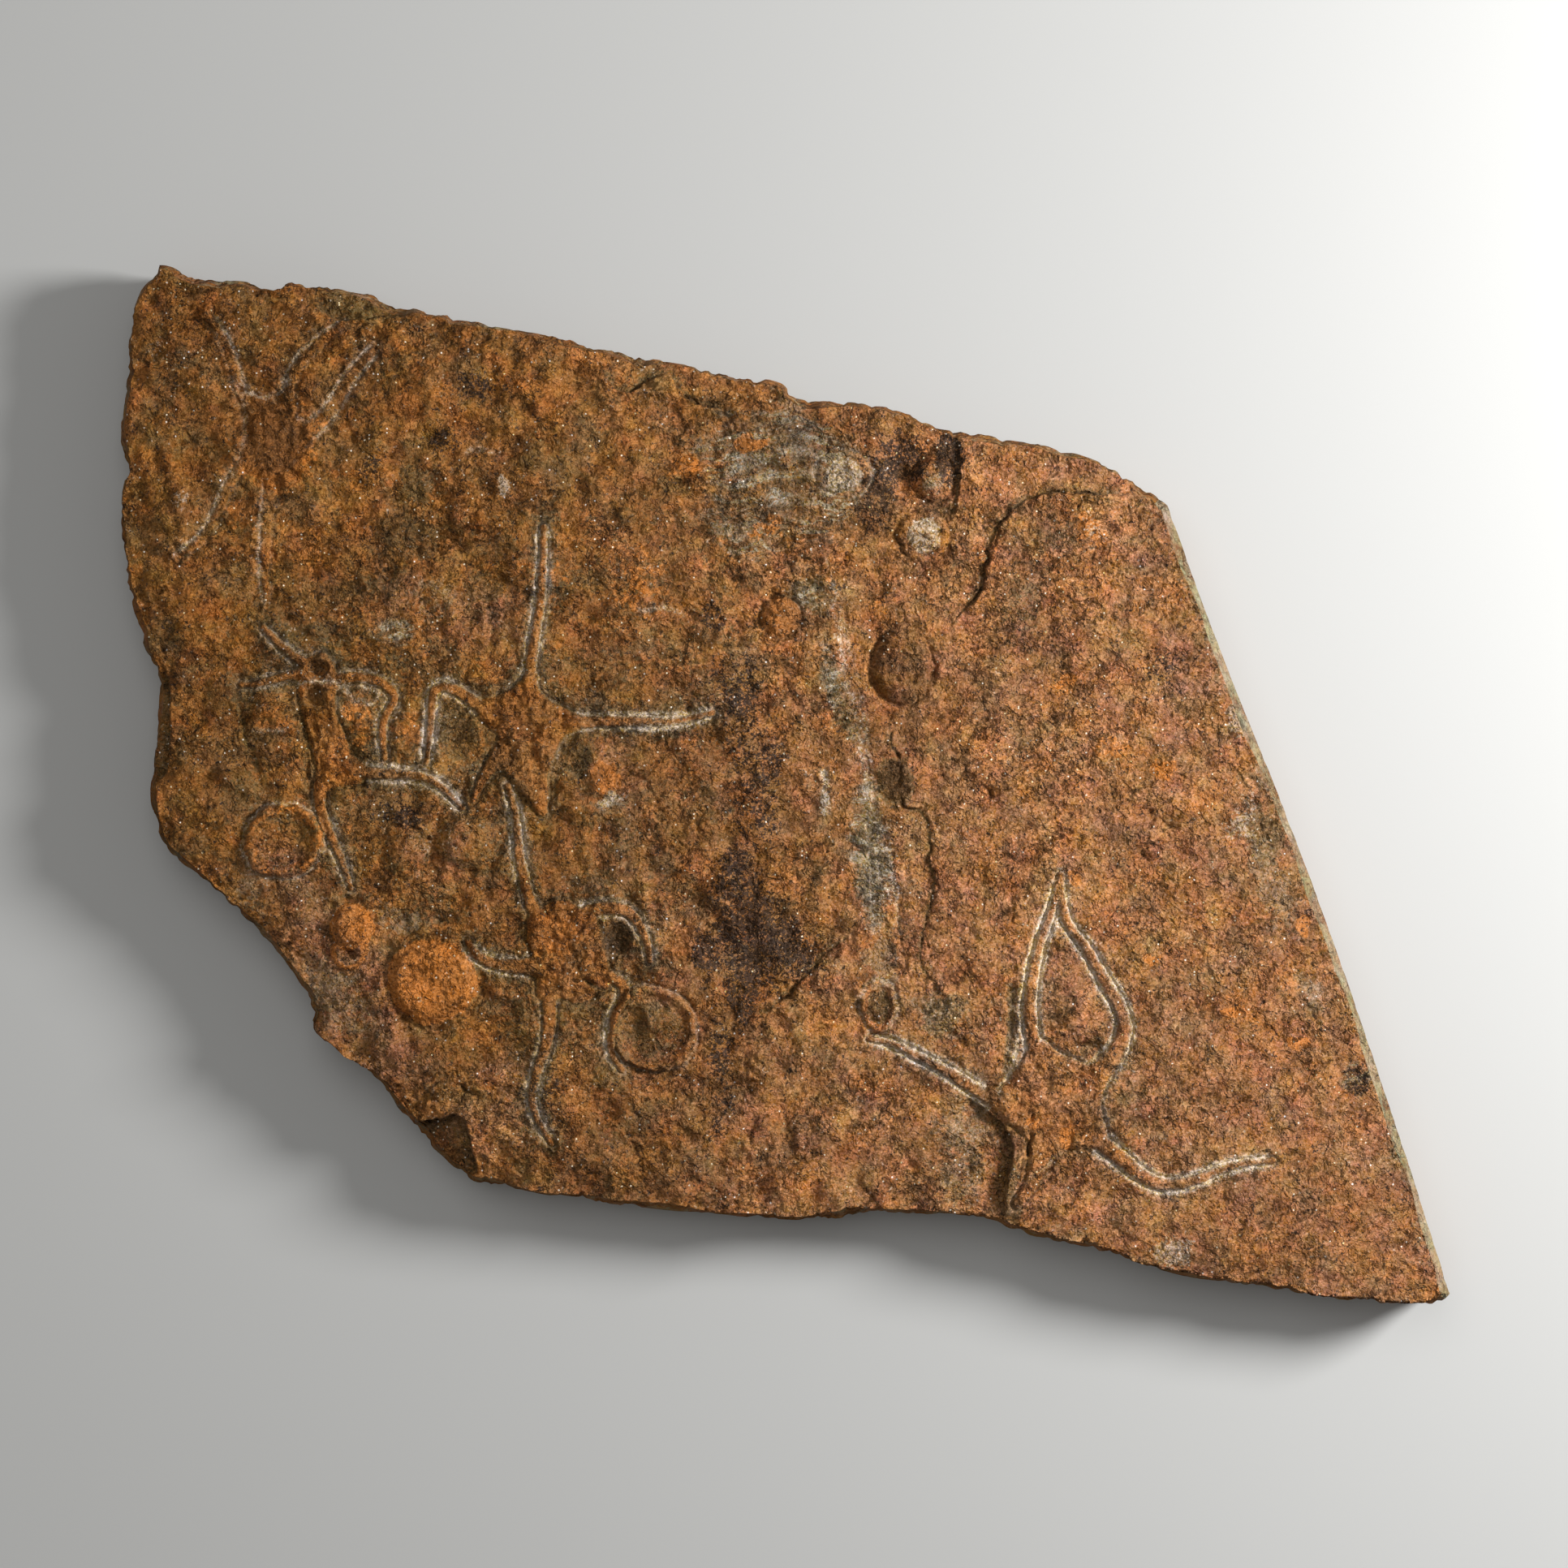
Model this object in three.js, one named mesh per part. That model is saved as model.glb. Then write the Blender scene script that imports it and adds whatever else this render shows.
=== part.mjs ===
// Brittle star fossil plate: one slab of sandy stone with five brittle stars, a few round fossil
// discs, lumps, ledges and pits standing in low relief on its face.
// Millimetres, +Z up. The slab lies on its flat sawn back, with the origin under its middle.
import * as THREE from 'three';

// ---------------------------------------------------------------- driving dimensions
const FACE_HEIGHT = 18;        // general height of the fossil face above the back
const ARM_RISE = 1.15;         // crest of a full arm above the ground beside it
const BODY_RISE = 1.25;        // top of a star's body above the ground beside it
const BODY_EDGE = 1.3;         // width of the rounded edge of a body
const GROOVE_DEPTH = 0.55;     // scribed groove that frees an arm or a body
const GROOVE_OFFSET = 0.45;    // middle of that groove outside the arm's edge
const GROOVE_WIDTH = 0.5;
const ROLL_DROP = 1.8;         // how far the face rolls down at a broken edge
const ROLL_REACH = 13;         // how far in from the edge the roll starts

// The slab's side is four rings, from the rim of the face down to the back. A broken side bulges
// and pulls in; the sawn side is straight under its worn chamfer. inset and sway are measured in
// from the outline, height and lift up from the back.
const BROKEN_SIDE = {
  rim: { inset: 1.5, sway: 0.7 },
  bulge: { inset: 0, sway: 0, height: 13, lift: 1.2 },
  waist: { inset: 1.0, sway: 0.7, height: 6.5, lift: 1.0 },
  foot: { inset: 1.8, sway: 0.6 },
};
const SAWN_SIDE = {
  rim: { inset: 3.2, sway: 0.6 },
  bulge: { inset: 0, sway: 0, height: 15, lift: 0.3 },
  waist: { inset: 0, sway: 0, height: 6.5, lift: 0 },
  foot: { inset: 0, sway: 0 },
};

// Spacing of the facets
const EDGE_STEP = 4.8;         // along the outline
const ARM_STEP = 3.5;          // along an arm and around a mound
const GROUND_STEP = 8;         // over plain ground
const BACK_STEP = 42;          // over the flat back
const HALF_LENGTH = 150;       // the ground is laid out over a box a little larger than the slab
const HALF_WIDTH = 118;
const CLEAR_OF_EDGE = 2.7;     // no point of the face comes nearer to its rim than this
const CLEAR_OF_RELIEF = 3.1;   // no point of plain ground comes nearer to relief than this
const CLEAR_OF_POINT = 0.75;   // two points of relief are never nearer than this
const TIP_APRON = 1.7;         // plain ground kept around the end of an arm

// ---------------------------------------------------------------- outline
// Anticlockwise from the top left corner. Three edges are broken, the right one is sawn.
const LEFT_EDGE = [
  [-139.5, 116], [-143, 111], [-145.5, 104], [-147, 87.5], [-148.3, 78.5], [-147.5, 70.5],
  [-148, 58.5], [-146.5, 44.5], [-143.5, 32.5], [-140, 23], [-140, 13.5], [-141.2, 3],
  [-141, -6], [-138, -14], [-126.5, -24], [-112.5, -38.5], [-106, -49.5], [-105, -55.5],
  [-101.5, -58.2], [-98, -58.3], [-89.5, -68.2], [-78.5, -81.5],
];
const BOTTOM_EDGE = [
  [-70.5, -88.2], [-58.5, -90.7], [-37, -94], [-21, -95.6], [8, -97.4], [18.5, -96.1],
  [29.5, -96], [47.5, -97.6], [50.5, -99.4], [69, -104.2], [92.5, -110.5], [117.5, -114.3],
  [139.5, -116.2], [146, -116],
];
const SAWN_EDGE = [
  [148.3, -113.5], [143, -97], [132, -63.5], [121.5, -33], [110.5, -3.5], [100, 22.5],
  [92, 43.5],
];
const TOP_EDGE = [
  [85.5, 62], [82.5, 65], [72.5, 71], [56.5, 76], [33, 80.3], [26, 83.3], [15, 85.3],
  [3.5, 86.2], [0, 89.3], [-15.5, 92.5], [-34.5, 96], [-48, 99.2], [-66, 102.5], [-81, 106],
  [-88, 107.2], [-92, 109.4], [-102, 110.9], [-109, 112], [-115.5, 110.7], [-120, 112.1],
  [-131.5, 113], [-137, 115.8],
];

// ---------------------------------------------------------------- fossils
// A body is a few overlapping discs [x, y, radius]. An arm is a path from the body to its tip,
// with its width at each end.
const STARS = [
  { // upper left, worn
    rise: 0.7,
    body: [[-115.4, 77.6, 5.8], [-112.7, 73.1, 4], [-117.7, 80.3, 2.9]],
    arms: [
      { base: 2.6, tip: 1.8, path: [[-116.6, 81.2], [-119, 84.2], [-121, 88.2], [-122.2, 92.9],
        [-123.8, 97.4], [-125.6, 100.8], [-127.6, 103.3]] },
      { base: 2.8, tip: 1.8, path: [[-111.8, 83], [-110.2, 86.6], [-108.9, 90.7],
        [-106.4, 94.5], [-103.7, 97.2], [-100.6, 99.9], [-97.6, 102.1]] },
      { base: 3.8, tip: 2, path: [[-111.8, 75.2], [-108, 76.1], [-104.4, 79], [-101.7, 81.5],
        [-99.5, 84.6], [-97.7, 87.8], [-95.4, 91.1], [-92.9, 94.1], [-90.5, 96.8]] },
      { base: 2.8, tip: 1.5, path: [[-116.6, 74], [-119.7, 71.3], [-122.4, 67.3],
        [-124.7, 62.3], [-126.7, 58], [-128.9, 54.7], [-131.4, 52.4], [-134.1, 50.6]] },
      { base: 3.4, tip: 1.4, path: [[-114.1, 71.3], [-113.8, 65.9], [-114.3, 61.4],
        [-114.7, 55.4], [-115.2, 47.9], [-114.8, 41]] },
    ],
  },
  { // middle left
    rise: 1,
    body: [[-57.8, 14, 7.6], [-58.7, 6.5, 5.4], [-51.1, 13.3, 4], [-61.9, 9.2, 4.3]],
    arms: [
      { base: 2.8, tip: 1.7, path: [[-56.5, 19.1], [-56.2, 25.9], [-55.1, 33.5],
        [-54, 40.7], [-53.5, 48.2], [-53.3, 56.9]] },
      { base: 3.4, tip: 1.5, path: [[-51.5, 13.7], [-43.6, 13.9], [-34.2, 13.9],
        [-24.8, 13.9], [-20.5, 14.6], [-15.8, 15.8]] },
      { base: 3.4, tip: 1.5, path: [[-61.4, 13.1], [-64.3, 14.4], [-67.1, 16.9],
        [-70, 19.1], [-73.1, 20.9], [-75.8, 21.6], [-77.6, 20.3], [-78.1, 16.6],
        [-78.5, 12.2], [-78.8, 8.3], [-79.4, 4.7]] },
      { base: 4.6, tip: 2, path: [[-57.8, 4.7], [-56.5, 1.1], [-55.1, -2.5],
        [-53.5, -6.1]] },
      { base: 4, tip: 1.4, path: [[-62.6, 7.4], [-65.2, 3.8], [-67.3, 0],
        [-68.9, -3.6]] },
    ],
  },
  { // left, narrow body with a looped arm
    rise: 1,
    body: [[-103.3, 22.3, 4.5], [-102.6, 15.5, 4], [-100.8, 9.2, 4.7], [-97.9, 4.3, 4.3]],
    arms: [
      { base: 2.8, tip: 1.6, path: [[-101, 22.3], [-97.4, 23.4], [-93.8, 23.6], [-90.7, 23],
        [-88, 21.6], [-86.4, 19.4], [-87.1, 17.1], [-88.6, 14.8], [-89.1, 11.9],
        [-88.6, 5.8]] },
      { base: 3.4, tip: 1.5, path: [[-97.4, 4.3], [-93.8, 2.9], [-89.6, 2.3], [-84.8, 2.2],
        [-80.3, 1.6], [-77.4, 0.4], [-75.1, -1.4], [-73.1, -3.4], [-71.3, -5.4]] },
      { base: 3.4, tip: 1.4, path: [[-100.4, 2.9], [-102.4, -0.4], [-103, -3.4],
        [-102.4, -6.7], [-101.2, -9.9], [-99.9, -13], [-98.5, -16], [-97.2, -19.3],
        [-96.1, -23]] },
      { base: 2.6, tip: 1.4, path: [[-105.5, 24.1], [-108.7, 24.3], [-111.6, 23.6],
        [-114.5, 22.9], [-117.5, 22.1], [-120.4, 22]] },
      { base: 2.8, tip: 1.5, path: [[-105.1, 25.9], [-108, 27.9], [-110.5, 29.9],
        [-113, 32.2], [-115.4, 34.7]] },
    ],
  },
  { // lower middle
    rise: 1,
    body: [[-50, -34.9, 7.6], [-54.2, -40.3, 5.4], [-45.2, -35.8, 5.4], [-48.8, -42.1, 5],
      [-49.7, -28.6, 4]],
    arms: [
      { base: 3.2, tip: 1.6, path: [[-53.6, -30.4], [-56, -26.8], [-57.1, -23.2],
        [-58.7, -16], [-59.4, -8.3], [-60.1, -4.3], [-61.2, -0.4]] },
      { base: 4.2, tip: 1.5, path: [[-47.9, -32.2], [-45, -29.3], [-41.6, -27.9],
        [-38.5, -27.5], [-35.6, -27.9], [-33.3, -29.5], [-31.7, -32], [-30.4, -35.3],
        [-29.7, -39.2]] },
      { base: 3.6, tip: 1.5, path: [[-44.3, -40.3], [-40.7, -42.1], [-37.4, -43.4],
        [-35.3, -45.4], [-35.8, -47.9], [-37.4, -50.8], [-38.3, -54], [-38.5, -57.2],
        [-37.8, -60.5], [-35.8, -63.4]] },
      { base: 4, tip: 2, path: [[-56, -40.3], [-59.4, -40.5], [-62.6, -40.1],
        [-65.9, -39.2], [-68.4, -37.6], [-70, -35.3]] },
      { base: 4.2, tip: 1.4, path: [[-51.5, -43], [-52, -47.2], [-52, -51.1],
        [-52.2, -55.1], [-53.1, -59.2], [-54.4, -62.8], [-55.4, -66.4], [-55.8, -70.2],
        [-54.9, -73.6], [-53.3, -76.7], [-51.5, -79.6]] },
    ],
  },
  { // lower right, the boldest
    rise: 1.15,
    body: [[62.3, -67, 7.9], [65.5, -63.4, 7.2], [67.3, -71.3, 4.3], [58.3, -73.1, 6.5],
      [64.6, -76.7, 6.1], [69.5, -60.1, 5.4], [56.2, -63.4, 3.6]],
    arms: [
      { base: 3.8, tip: 1.4, path: [[53.8, -73.1], [49.3, -71.3], [45.2, -69.5],
        [40.7, -66.6], [36.7, -64.1], [33.1, -62.1], [28.6, -59.8], [24.1, -57.6],
        [19.1, -56.5]] },
      { base: 3.8, tip: 1.6, path: [[57.4, -62.3], [55.4, -57.6], [54.7, -53.3],
        [54.5, -49], [54.9, -44.5], [55.6, -40.3], [56.7, -35.8], [58, -31.7],
        [58.9, -27.7], [58.9, -23.8]] },
      { base: 4, tip: 1.5, path: [[70, -64.1], [72.4, -61], [74.5, -57.8], [75.4, -54.4],
        [75.1, -51.1], [73.6, -47.9], [71.6, -44.5], [69.7, -41], [67.5, -37.1],
        [65, -33.7], [62.5, -30.2], [61.7, -25.6], [61.6, -20.5]] },
      { base: 4.2, tip: 1.4, path: [[67.3, -77.8], [71.3, -80.3], [75.2, -83.5],
        [79, -86.6], [83.2, -88.7], [87.5, -88.7], [92.2, -87.5], [96.8, -85.5],
        [102.4, -84.1], [108.4, -83.5]] },
      { base: 4.6, tip: 2.4, path: [[59.8, -77.2], [58, -81.4], [56.5, -85.3],
        [54.4, -89.3], [51.8, -93.2]] },
    ],
  },
];

// Round fossils and lumps: centre, radii, rise, and how much of the radius the slope takes.
const MOUNDS = [
  { x: -77.9, y: -43.9, rx: 10, ry: 9.4, rise: 1.4, slope: 0.3 },    // orange disc
  { x: -110.9, y: -12.6, rx: 8.8, ry: 8.6, rise: 0.5, slope: 0.4 },  // ringed disc, left
  { x: -96.1, y: -34.6, rx: 4.9, ry: 7.6, rise: 1.1, slope: 0.55 },  // oval disc
  { x: -29, y: -54.4, rx: 9.4, ry: 9.4, rise: 1.5, slope: 0.7 },     // domed disc
  { x: -0.7, y: 37.1, rx: 4.5, ry: 4.5, rise: 0.9, slope: 0.8 },
  { x: 13.3, y: 68.9, rx: 5.8, ry: 5.8, rise: 0.8, slope: 0.6 },
  { x: 31, y: 55.1, rx: 5, ry: 5, rise: 0.6, slope: 0.6 },
  { x: 33.1, y: 67.7, rx: 4.7, ry: 5.4, rise: 1.8, slope: 0.6 },     // knob by the dark patch
  { x: -70.4, y: -12.4, rx: 6.8, ry: 6.8, rise: 0.9, slope: 0.8 },
  { x: -83, y: -17.3, rx: 4.5, ry: 4.5, rise: 0.8, slope: 0.8 },
  { x: -39.8, y: -0.7, rx: 5.4, ry: 4.7, rise: 0.9, slope: 0.8 },
  { x: 64.6, y: -49.3, rx: 6.1, ry: 7.2, rise: 0.9, slope: 0.8 },    // lump inside the loop
  { x: -63.2, y: 65.9, rx: 2.9, ry: 2.9, rise: 1.1, slope: 0.9 },
  { x: -55.1, y: 72.2, rx: 3.2, ry: 3.2, rise: 0.8, slope: 0.9 },
  { x: -137, y: 73.4, rx: 2.5, ry: 4, rise: 0.9, slope: 0.8 },
  { x: -133.9, y: 63.7, rx: 2.2, ry: 2.9, rise: 0.7, slope: 0.8 },
  { x: -113, y: 15.5, rx: 5.6, ry: 3.6, rise: 0.9, slope: 0.4 },     // ground left standing
  { x: -112, y: 3.8, rx: 6.1, ry: 6.8, rise: 0.6, slope: 0.4 },
  { x: 67.3, y: 56, rx: 5, ry: 5, rise: 0.5, slope: 0.8 },
  { x: -101.5, y: -55, rx: 3.8, ry: 3.4, rise: 1.8, slope: 0.9 },    // knob on the lower edge
];
const RINGS = [
  { x: -110.9, y: -12.6, rx: 7.6, ry: 7.4, rise: 0.7, width: 1.5 },
  { x: 25.9, y: 25.9, rx: 7, ry: 7, rise: 1, width: 1.3 },
  { x: 31, y: 55.1, rx: 4.4, ry: 4.4, rise: 0.4, width: 0.9 },
  { x: 21.1, y: -49.5, rx: 3.2, ry: 4.4, rise: 0.6, width: 0.8 },
];
const PITS = [
  { x: -103.1, y: 25.9, rx: 2.9, ry: 2.1, depth: 2.2, slope: 0.5 },  // hollows of the left star
  { x: -103.5, y: 19.4, rx: 2.6, ry: 2.5, depth: 2.2, slope: 0.5 },
  { x: -37.1, y: -34.6, rx: 3, ry: 3.7, depth: 1.6, slope: 0.5 },
  { x: 68.2, y: -58.5, rx: 3.6, ry: 2.2, depth: 1.8, slope: 0.7 },
  { x: -72.5, y: 11, rx: 4.3, ry: 8.1, depth: 0.9, slope: 0.5 },
  { x: -58.7, y: -3.4, rx: 2.5, ry: 3.2, depth: 0.7, slope: 0.7 },
  { x: 26.6, y: 67.7, rx: 1.9, ry: 4.7, depth: 1.3, slope: 0.7 },
  { x: -138.8, y: 72.2, rx: 1.6, ry: 3.2, depth: 0.9, slope: 0.8 },
  { x: -117.5, y: -34.5, rx: 3, ry: 4, depth: 1.4, slope: 0.7 },
];

// Ledges: the ground on the right hand of the path, walking along it, is lower by drop at the
// path and comes back to the general level over reach.
const LEDGES = [
  { drop: 2.2, reach: 15, path: [[40.3, -68.8], [45.2, -72.4], [49, -75.8], [50.9, -80.5],
    [49.9, -86.6], [49.1, -92.5], [49.1, -98.3]] },                   // beside the bold star
  { drop: 0.9, reach: 12, path: [[78.8, 64.1], [70.4, 64.1], [62.8, 64.6], [55.3, 63.4],
    [51.1, 61], [48.6, 58], [46.6, 54], [45, 48.4], [44.3, 43.9], [42.1, 40.3], [38.7, 37.3],
    [36, 32.8]] },
  { drop: 0.8, reach: 10, path: [[24.8, 17.6], [24.1, 13.5], [23.9, 9.5], [25.9, 5.6],
    [26.6, -4.5], [30.4, -5.6], [32.4, -9], [32.6, -17.6], [33.7, -22.7], [32.4, -27.7],
    [30.6, -38.9], [33.1, -43.9], [36.4, -47.5]] },
  { drop: 0.6, reach: 9, path: [[16.2, -32.8], [9.2, -37.8], [6.7, -40.9], [1.6, -46.1],
    [-6.5, -52.9]] },
  { drop: 1.3, reach: 14, path: [[-11, 80.3], [-14.8, 83], [-21.8, 85.3], [-25.6, 90.7],
    [-31.3, 88.7], [-34.7, 86.8], [-38.3, 88.4], [-41.6, 94.7]] },    // strip along the top
  { drop: 0.9, reach: 8, path: [[38.2, 78.8], [39.2, 73.1], [39.1, 65.9], [37.8, 58.7]] },
  { drop: 3.2, reach: 24, path: [[-137.5, 26], [-136.5, 20], [-136.2, 12], [-136.8, 4],
    [-139.5, -1]] },                                                  // recess, left edge
  { drop: 3.6, reach: 40, path: [[-84, -75.4], [-76.3, -74.2], [-73, -73.2], [-71, -74.6],
    [-69.5, -79.4], [-67.5, -88]] },                                  // chip, lower left
  { drop: 3, reach: 40, path: [[-82, 103.9], [-92.5, 103.3], [-99, 102.7], [-102.7, 105.5],
    [-104, 109.5]] },                                                 // chip, top
];
const TRENCHES = [
  { depth: 0.9, width: 1.2, path: [[50.2, -44.8], [50.4, -51.1], [50, -57.4],
    [49.3, -64.6]] },
];

// ---------------------------------------------------------------- plane geometry
const smoothstep = THREE.MathUtils.smoothstep;

// A smooth curve through points of the XY plane
function curveThrough(path) {
  const points = path.map(([x, y]) => new THREE.Vector3(x, y, 0));
  return new THREE.CatmullRomCurve3(points, false, 'centripetal');
}

// Points about step apart along that curve, as [x, y]
function walk(path, step) {
  const curve = curveThrough(path);
  const count = Math.max(2, Math.round(curve.getLength() / step));
  return curve.getSpacedPoints(count).map((p) => [p.x, p.y]);
}

// Nearest point of a polyline: distance, share of the way along it, and side (+1 on the left)
function nearest(line, x, y) {
  let best = { distance: Infinity, along: 0, side: 1 };
  for (let i = 0; i + 1 < line.length; i += 1) {
    const [ax, ay] = line[i];
    const [bx, by] = line[i + 1];
    const [dx, dy] = [bx - ax, by - ay];
    const share = THREE.MathUtils.clamp(
      ((x - ax) * dx + (y - ay) * dy) / (dx * dx + dy * dy), 0, 1);
    const distance = Math.hypot(x - ax - share * dx, y - ay - share * dy);
    if (distance < best.distance) {
      const side = Math.sign(dx * (y - ay) - dy * (x - ax)) || 1;
      best = { distance, along: (i + share) / (line.length - 1), side };
    }
  }
  return best;
}

function isInside(loop, x, y) {
  let inside = false;
  for (let i = 0, j = loop.length - 1; i < loop.length; j = i, i += 1) {
    const [ax, ay] = loop[i];
    const [bx, by] = loop[j];
    if ((ay > y) !== (by > y) && x < ((bx - ax) * (y - ay)) / (by - ay) + ax) inside = !inside;
  }
  return inside;
}

// A slow sway between -1 and 1 along the outline
function sway(s, phase) {
  return 0.6 * Math.sin(s / 7.3 + phase) + 0.4 * Math.sin(s / 3.1 + 2.3 * phase);
}

// ---------------------------------------------------------------- relief of the face
const LINE_STEP = 1.5;
const armLines = STARS.map((star) => star.arms.map((arm) => walk(arm.path, LINE_STEP)));
const ledgeLines = LEDGES.map((ledge) => walk(ledge.path, LINE_STEP));
const trenchLines = TRENCHES.map((trench) => walk(trench.path, LINE_STEP));
const brokenLine = walk([...TOP_EDGE, ...LEFT_EDGE, ...BOTTOM_EDGE], LINE_STEP * 2);

function armHalfWidth(arm, along) {
  return 0.5 * THREE.MathUtils.lerp(arm.base, arm.tip, along);
}

// Gentle waves of the bedding plane
function groundHeight(x, y) {
  const waves = 0.5 * Math.sin(x / 31 + 0.6) * Math.cos(y / 27 - 0.4)
    + 0.3 * Math.sin(x / 13 + 1.9) * Math.sin(y / 11 + 0.3);
  const roll = 1 - smoothstep(nearest(brokenLine, x, y).distance, 0, ROLL_REACH);
  return FACE_HEIGHT + waves - ROLL_DROP * roll * roll;
}

// Half-round arms and flat-topped bodies, with the groove that was scribed around them
function starRelief(star, lines, x, y) {
  let rise = 0;
  let outside = Infinity;
  for (const [cx, cy, radius] of star.body) {
    const depthIn = radius - Math.hypot(x - cx, y - cy);
    rise = Math.max(rise, BODY_RISE * smoothstep(depthIn, 0, BODY_EDGE));
    outside = Math.min(outside, -depthIn);
  }
  star.arms.forEach((arm, i) => {
    const { distance, along } = nearest(lines[i], x, y);
    const half = armHalfWidth(arm, along);
    const crest = ARM_RISE * (1 - 0.4 * along);
    if (distance < half) rise = Math.max(rise, crest * Math.sqrt(1 - (distance / half) ** 2));
    outside = Math.min(outside, distance - half);
  });
  const groove = outside > 0
    ? GROOVE_DEPTH * Math.exp(-(((outside - GROOVE_OFFSET) / GROOVE_WIDTH) ** 2)) : 0;
  return star.rise * (rise - groove);
}

function ellipseRadius(shape, x, y) {
  return Math.hypot((x - shape.x) / shape.rx, (y - shape.y) / shape.ry);
}

function faceHeight(x, y) {
  let z = groundHeight(x, y);
  LEDGES.forEach((ledge, i) => {
    const { distance, along, side } = nearest(ledgeLines[i], x, y);
    const ends = smoothstep(along, 0, 0.12) * (1 - smoothstep(along, 0.88, 1));
    if (side < 0) z -= ledge.drop * ends * Math.exp(-distance / ledge.reach);
  });
  TRENCHES.forEach((trench, i) => {
    const { distance } = nearest(trenchLines[i], x, y);
    z -= trench.depth * Math.exp(-((distance / trench.width) ** 2));
  });
  for (const mound of MOUNDS) {
    z += mound.rise * (1 - smoothstep(ellipseRadius(mound, x, y), 1 - mound.slope, 1));
  }
  for (const ring of RINGS) {
    const off = (ellipseRadius(ring, x, y) - 1) * ring.rx;
    z += ring.rise * Math.exp(-((off / ring.width) ** 2));
  }
  for (const pit of PITS) {
    z -= pit.depth * (1 - smoothstep(ellipseRadius(pit, x, y), 1 - pit.slope, 1));
  }
  STARS.forEach((star, i) => { z += starRelief(star, armLines[i], x, y); });
  return z;
}

// ---------------------------------------------------------------- side rings
// The outline walked once: points, outward normals, and how far each point is sawn (0 to 1)
function outlinePoints() {
  const broken = walk([...SAWN_EDGE.slice(-1), ...TOP_EDGE, ...LEFT_EDGE, ...BOTTOM_EDGE,
    SAWN_EDGE[0]], EDGE_STEP);
  const sawn = walk(SAWN_EDGE, EDGE_STEP).slice(1, -1);
  const points = [...broken, ...sawn];
  const sawnLine = walk([...SAWN_EDGE, TOP_EDGE[0]], EDGE_STEP);
  return points.map(([x, y], i) => {
    const [px, py] = points[(i + points.length - 1) % points.length];
    const [nx, ny] = points[(i + 1) % points.length];
    const length = Math.hypot(nx - px, ny - py);
    const sawnShare = 1 - smoothstep(nearest(sawnLine, x, y).distance, 0.5, 4);
    return { x, y, outX: (ny - py) / length, outY: (px - nx) / length, s: i * EDGE_STEP,
      sawnShare };
  });
}

// One ring of the side: the outline moved in, at its own height
function sideRing(outline, level, phase) {
  return outline.map((p) => {
    const mix = (key) => THREE.MathUtils.lerp(
      BROKEN_SIDE[level][key] ?? 0, SAWN_SIDE[level][key] ?? 0, p.sawnShare);
    const inset = mix('inset') + mix('sway') * sway(p.s, phase);
    const z = mix('height') + mix('lift') * sway(p.s, phase + 1.7);
    return [p.x - inset * p.outX, p.y - inset * p.outY, z];
  });
}

// ---------------------------------------------------------------- facets
// Delaunay triangles of the points, kept where they lie inside the loop. The loop's own points
// come first in the list.
function trianglesInside(points, loopLength) {
  const far = 1e4;
  const all = [...points, [-far, -far], [far, -far], [0, far]];
  const first = points.length;
  const circled = (a, b, c) => {
    const [ax, ay] = all[a];
    const [bx, by] = [all[b][0] - ax, all[b][1] - ay];
    const [cx, cy] = [all[c][0] - ax, all[c][1] - ay];
    const twice = 2 * (bx * cy - by * cx);
    const ux = (cy * (bx * bx + by * by) - by * (cx * cx + cy * cy)) / twice;
    const uy = (bx * (cx * cx + cy * cy) - cx * (bx * bx + by * by)) / twice;
    return { corners: [a, b, c], x: ax + ux, y: ay + uy, r2: ux * ux + uy * uy };
  };
  let triangles = [circled(first, first + 1, first + 2)];
  points.forEach(([x, y], index) => {
    const kept = [];
    const rim = new Map();
    for (const triangle of triangles) {
      if ((x - triangle.x) ** 2 + (y - triangle.y) ** 2 >= triangle.r2) {
        kept.push(triangle);
        continue;
      }
      const [a, b, c] = triangle.corners;
      for (const [from, to] of [[a, b], [b, c], [c, a]]) {
        const back = `${to},${from}`;
        if (rim.has(back)) rim.delete(back);
        else rim.set(`${from},${to}`, [from, to]);
      }
    }
    for (const [from, to] of rim.values()) kept.push(circled(from, to, index));
    triangles = kept;
  });
  const loop = points.slice(0, loopLength);
  return triangles.map((triangle) => triangle.corners).filter((corners) => {
    if (corners.some((corner) => corner >= first)) return false;
    const x = (all[corners[0]][0] + all[corners[1]][0] + all[corners[2]][0]) / 3;
    const y = (all[corners[0]][1] + all[corners[1]][1] + all[corners[2]][1]) / 3;
    return isInside(loop, x, y);
  });
}

// A set of plane points that keeps newcomers at a distance, looked up through a coarse grid
class PointSet {
  constructor(cell) {
    this.cell = cell;
    this.points = [];
    this.cells = new Map();
  }

  near(x, y, distance) {
    const reach = Math.ceil(distance / this.cell);
    const [column, row] = [Math.floor(x / this.cell), Math.floor(y / this.cell)];
    for (let i = column - reach; i <= column + reach; i += 1) {
      for (let j = row - reach; j <= row + reach; j += 1) {
        for (const [px, py] of this.cells.get(`${i},${j}`) ?? []) {
          if (Math.hypot(px - x, py - y) < distance) return true;
        }
      }
    }
    return false;
  }

  add(x, y) {
    const key = `${Math.floor(x / this.cell)},${Math.floor(y / this.cell)}`;
    if (!this.cells.has(key)) this.cells.set(key, []);
    this.cells.get(key).push([x, y]);
    this.points.push([x, y]);
  }
}

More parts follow.
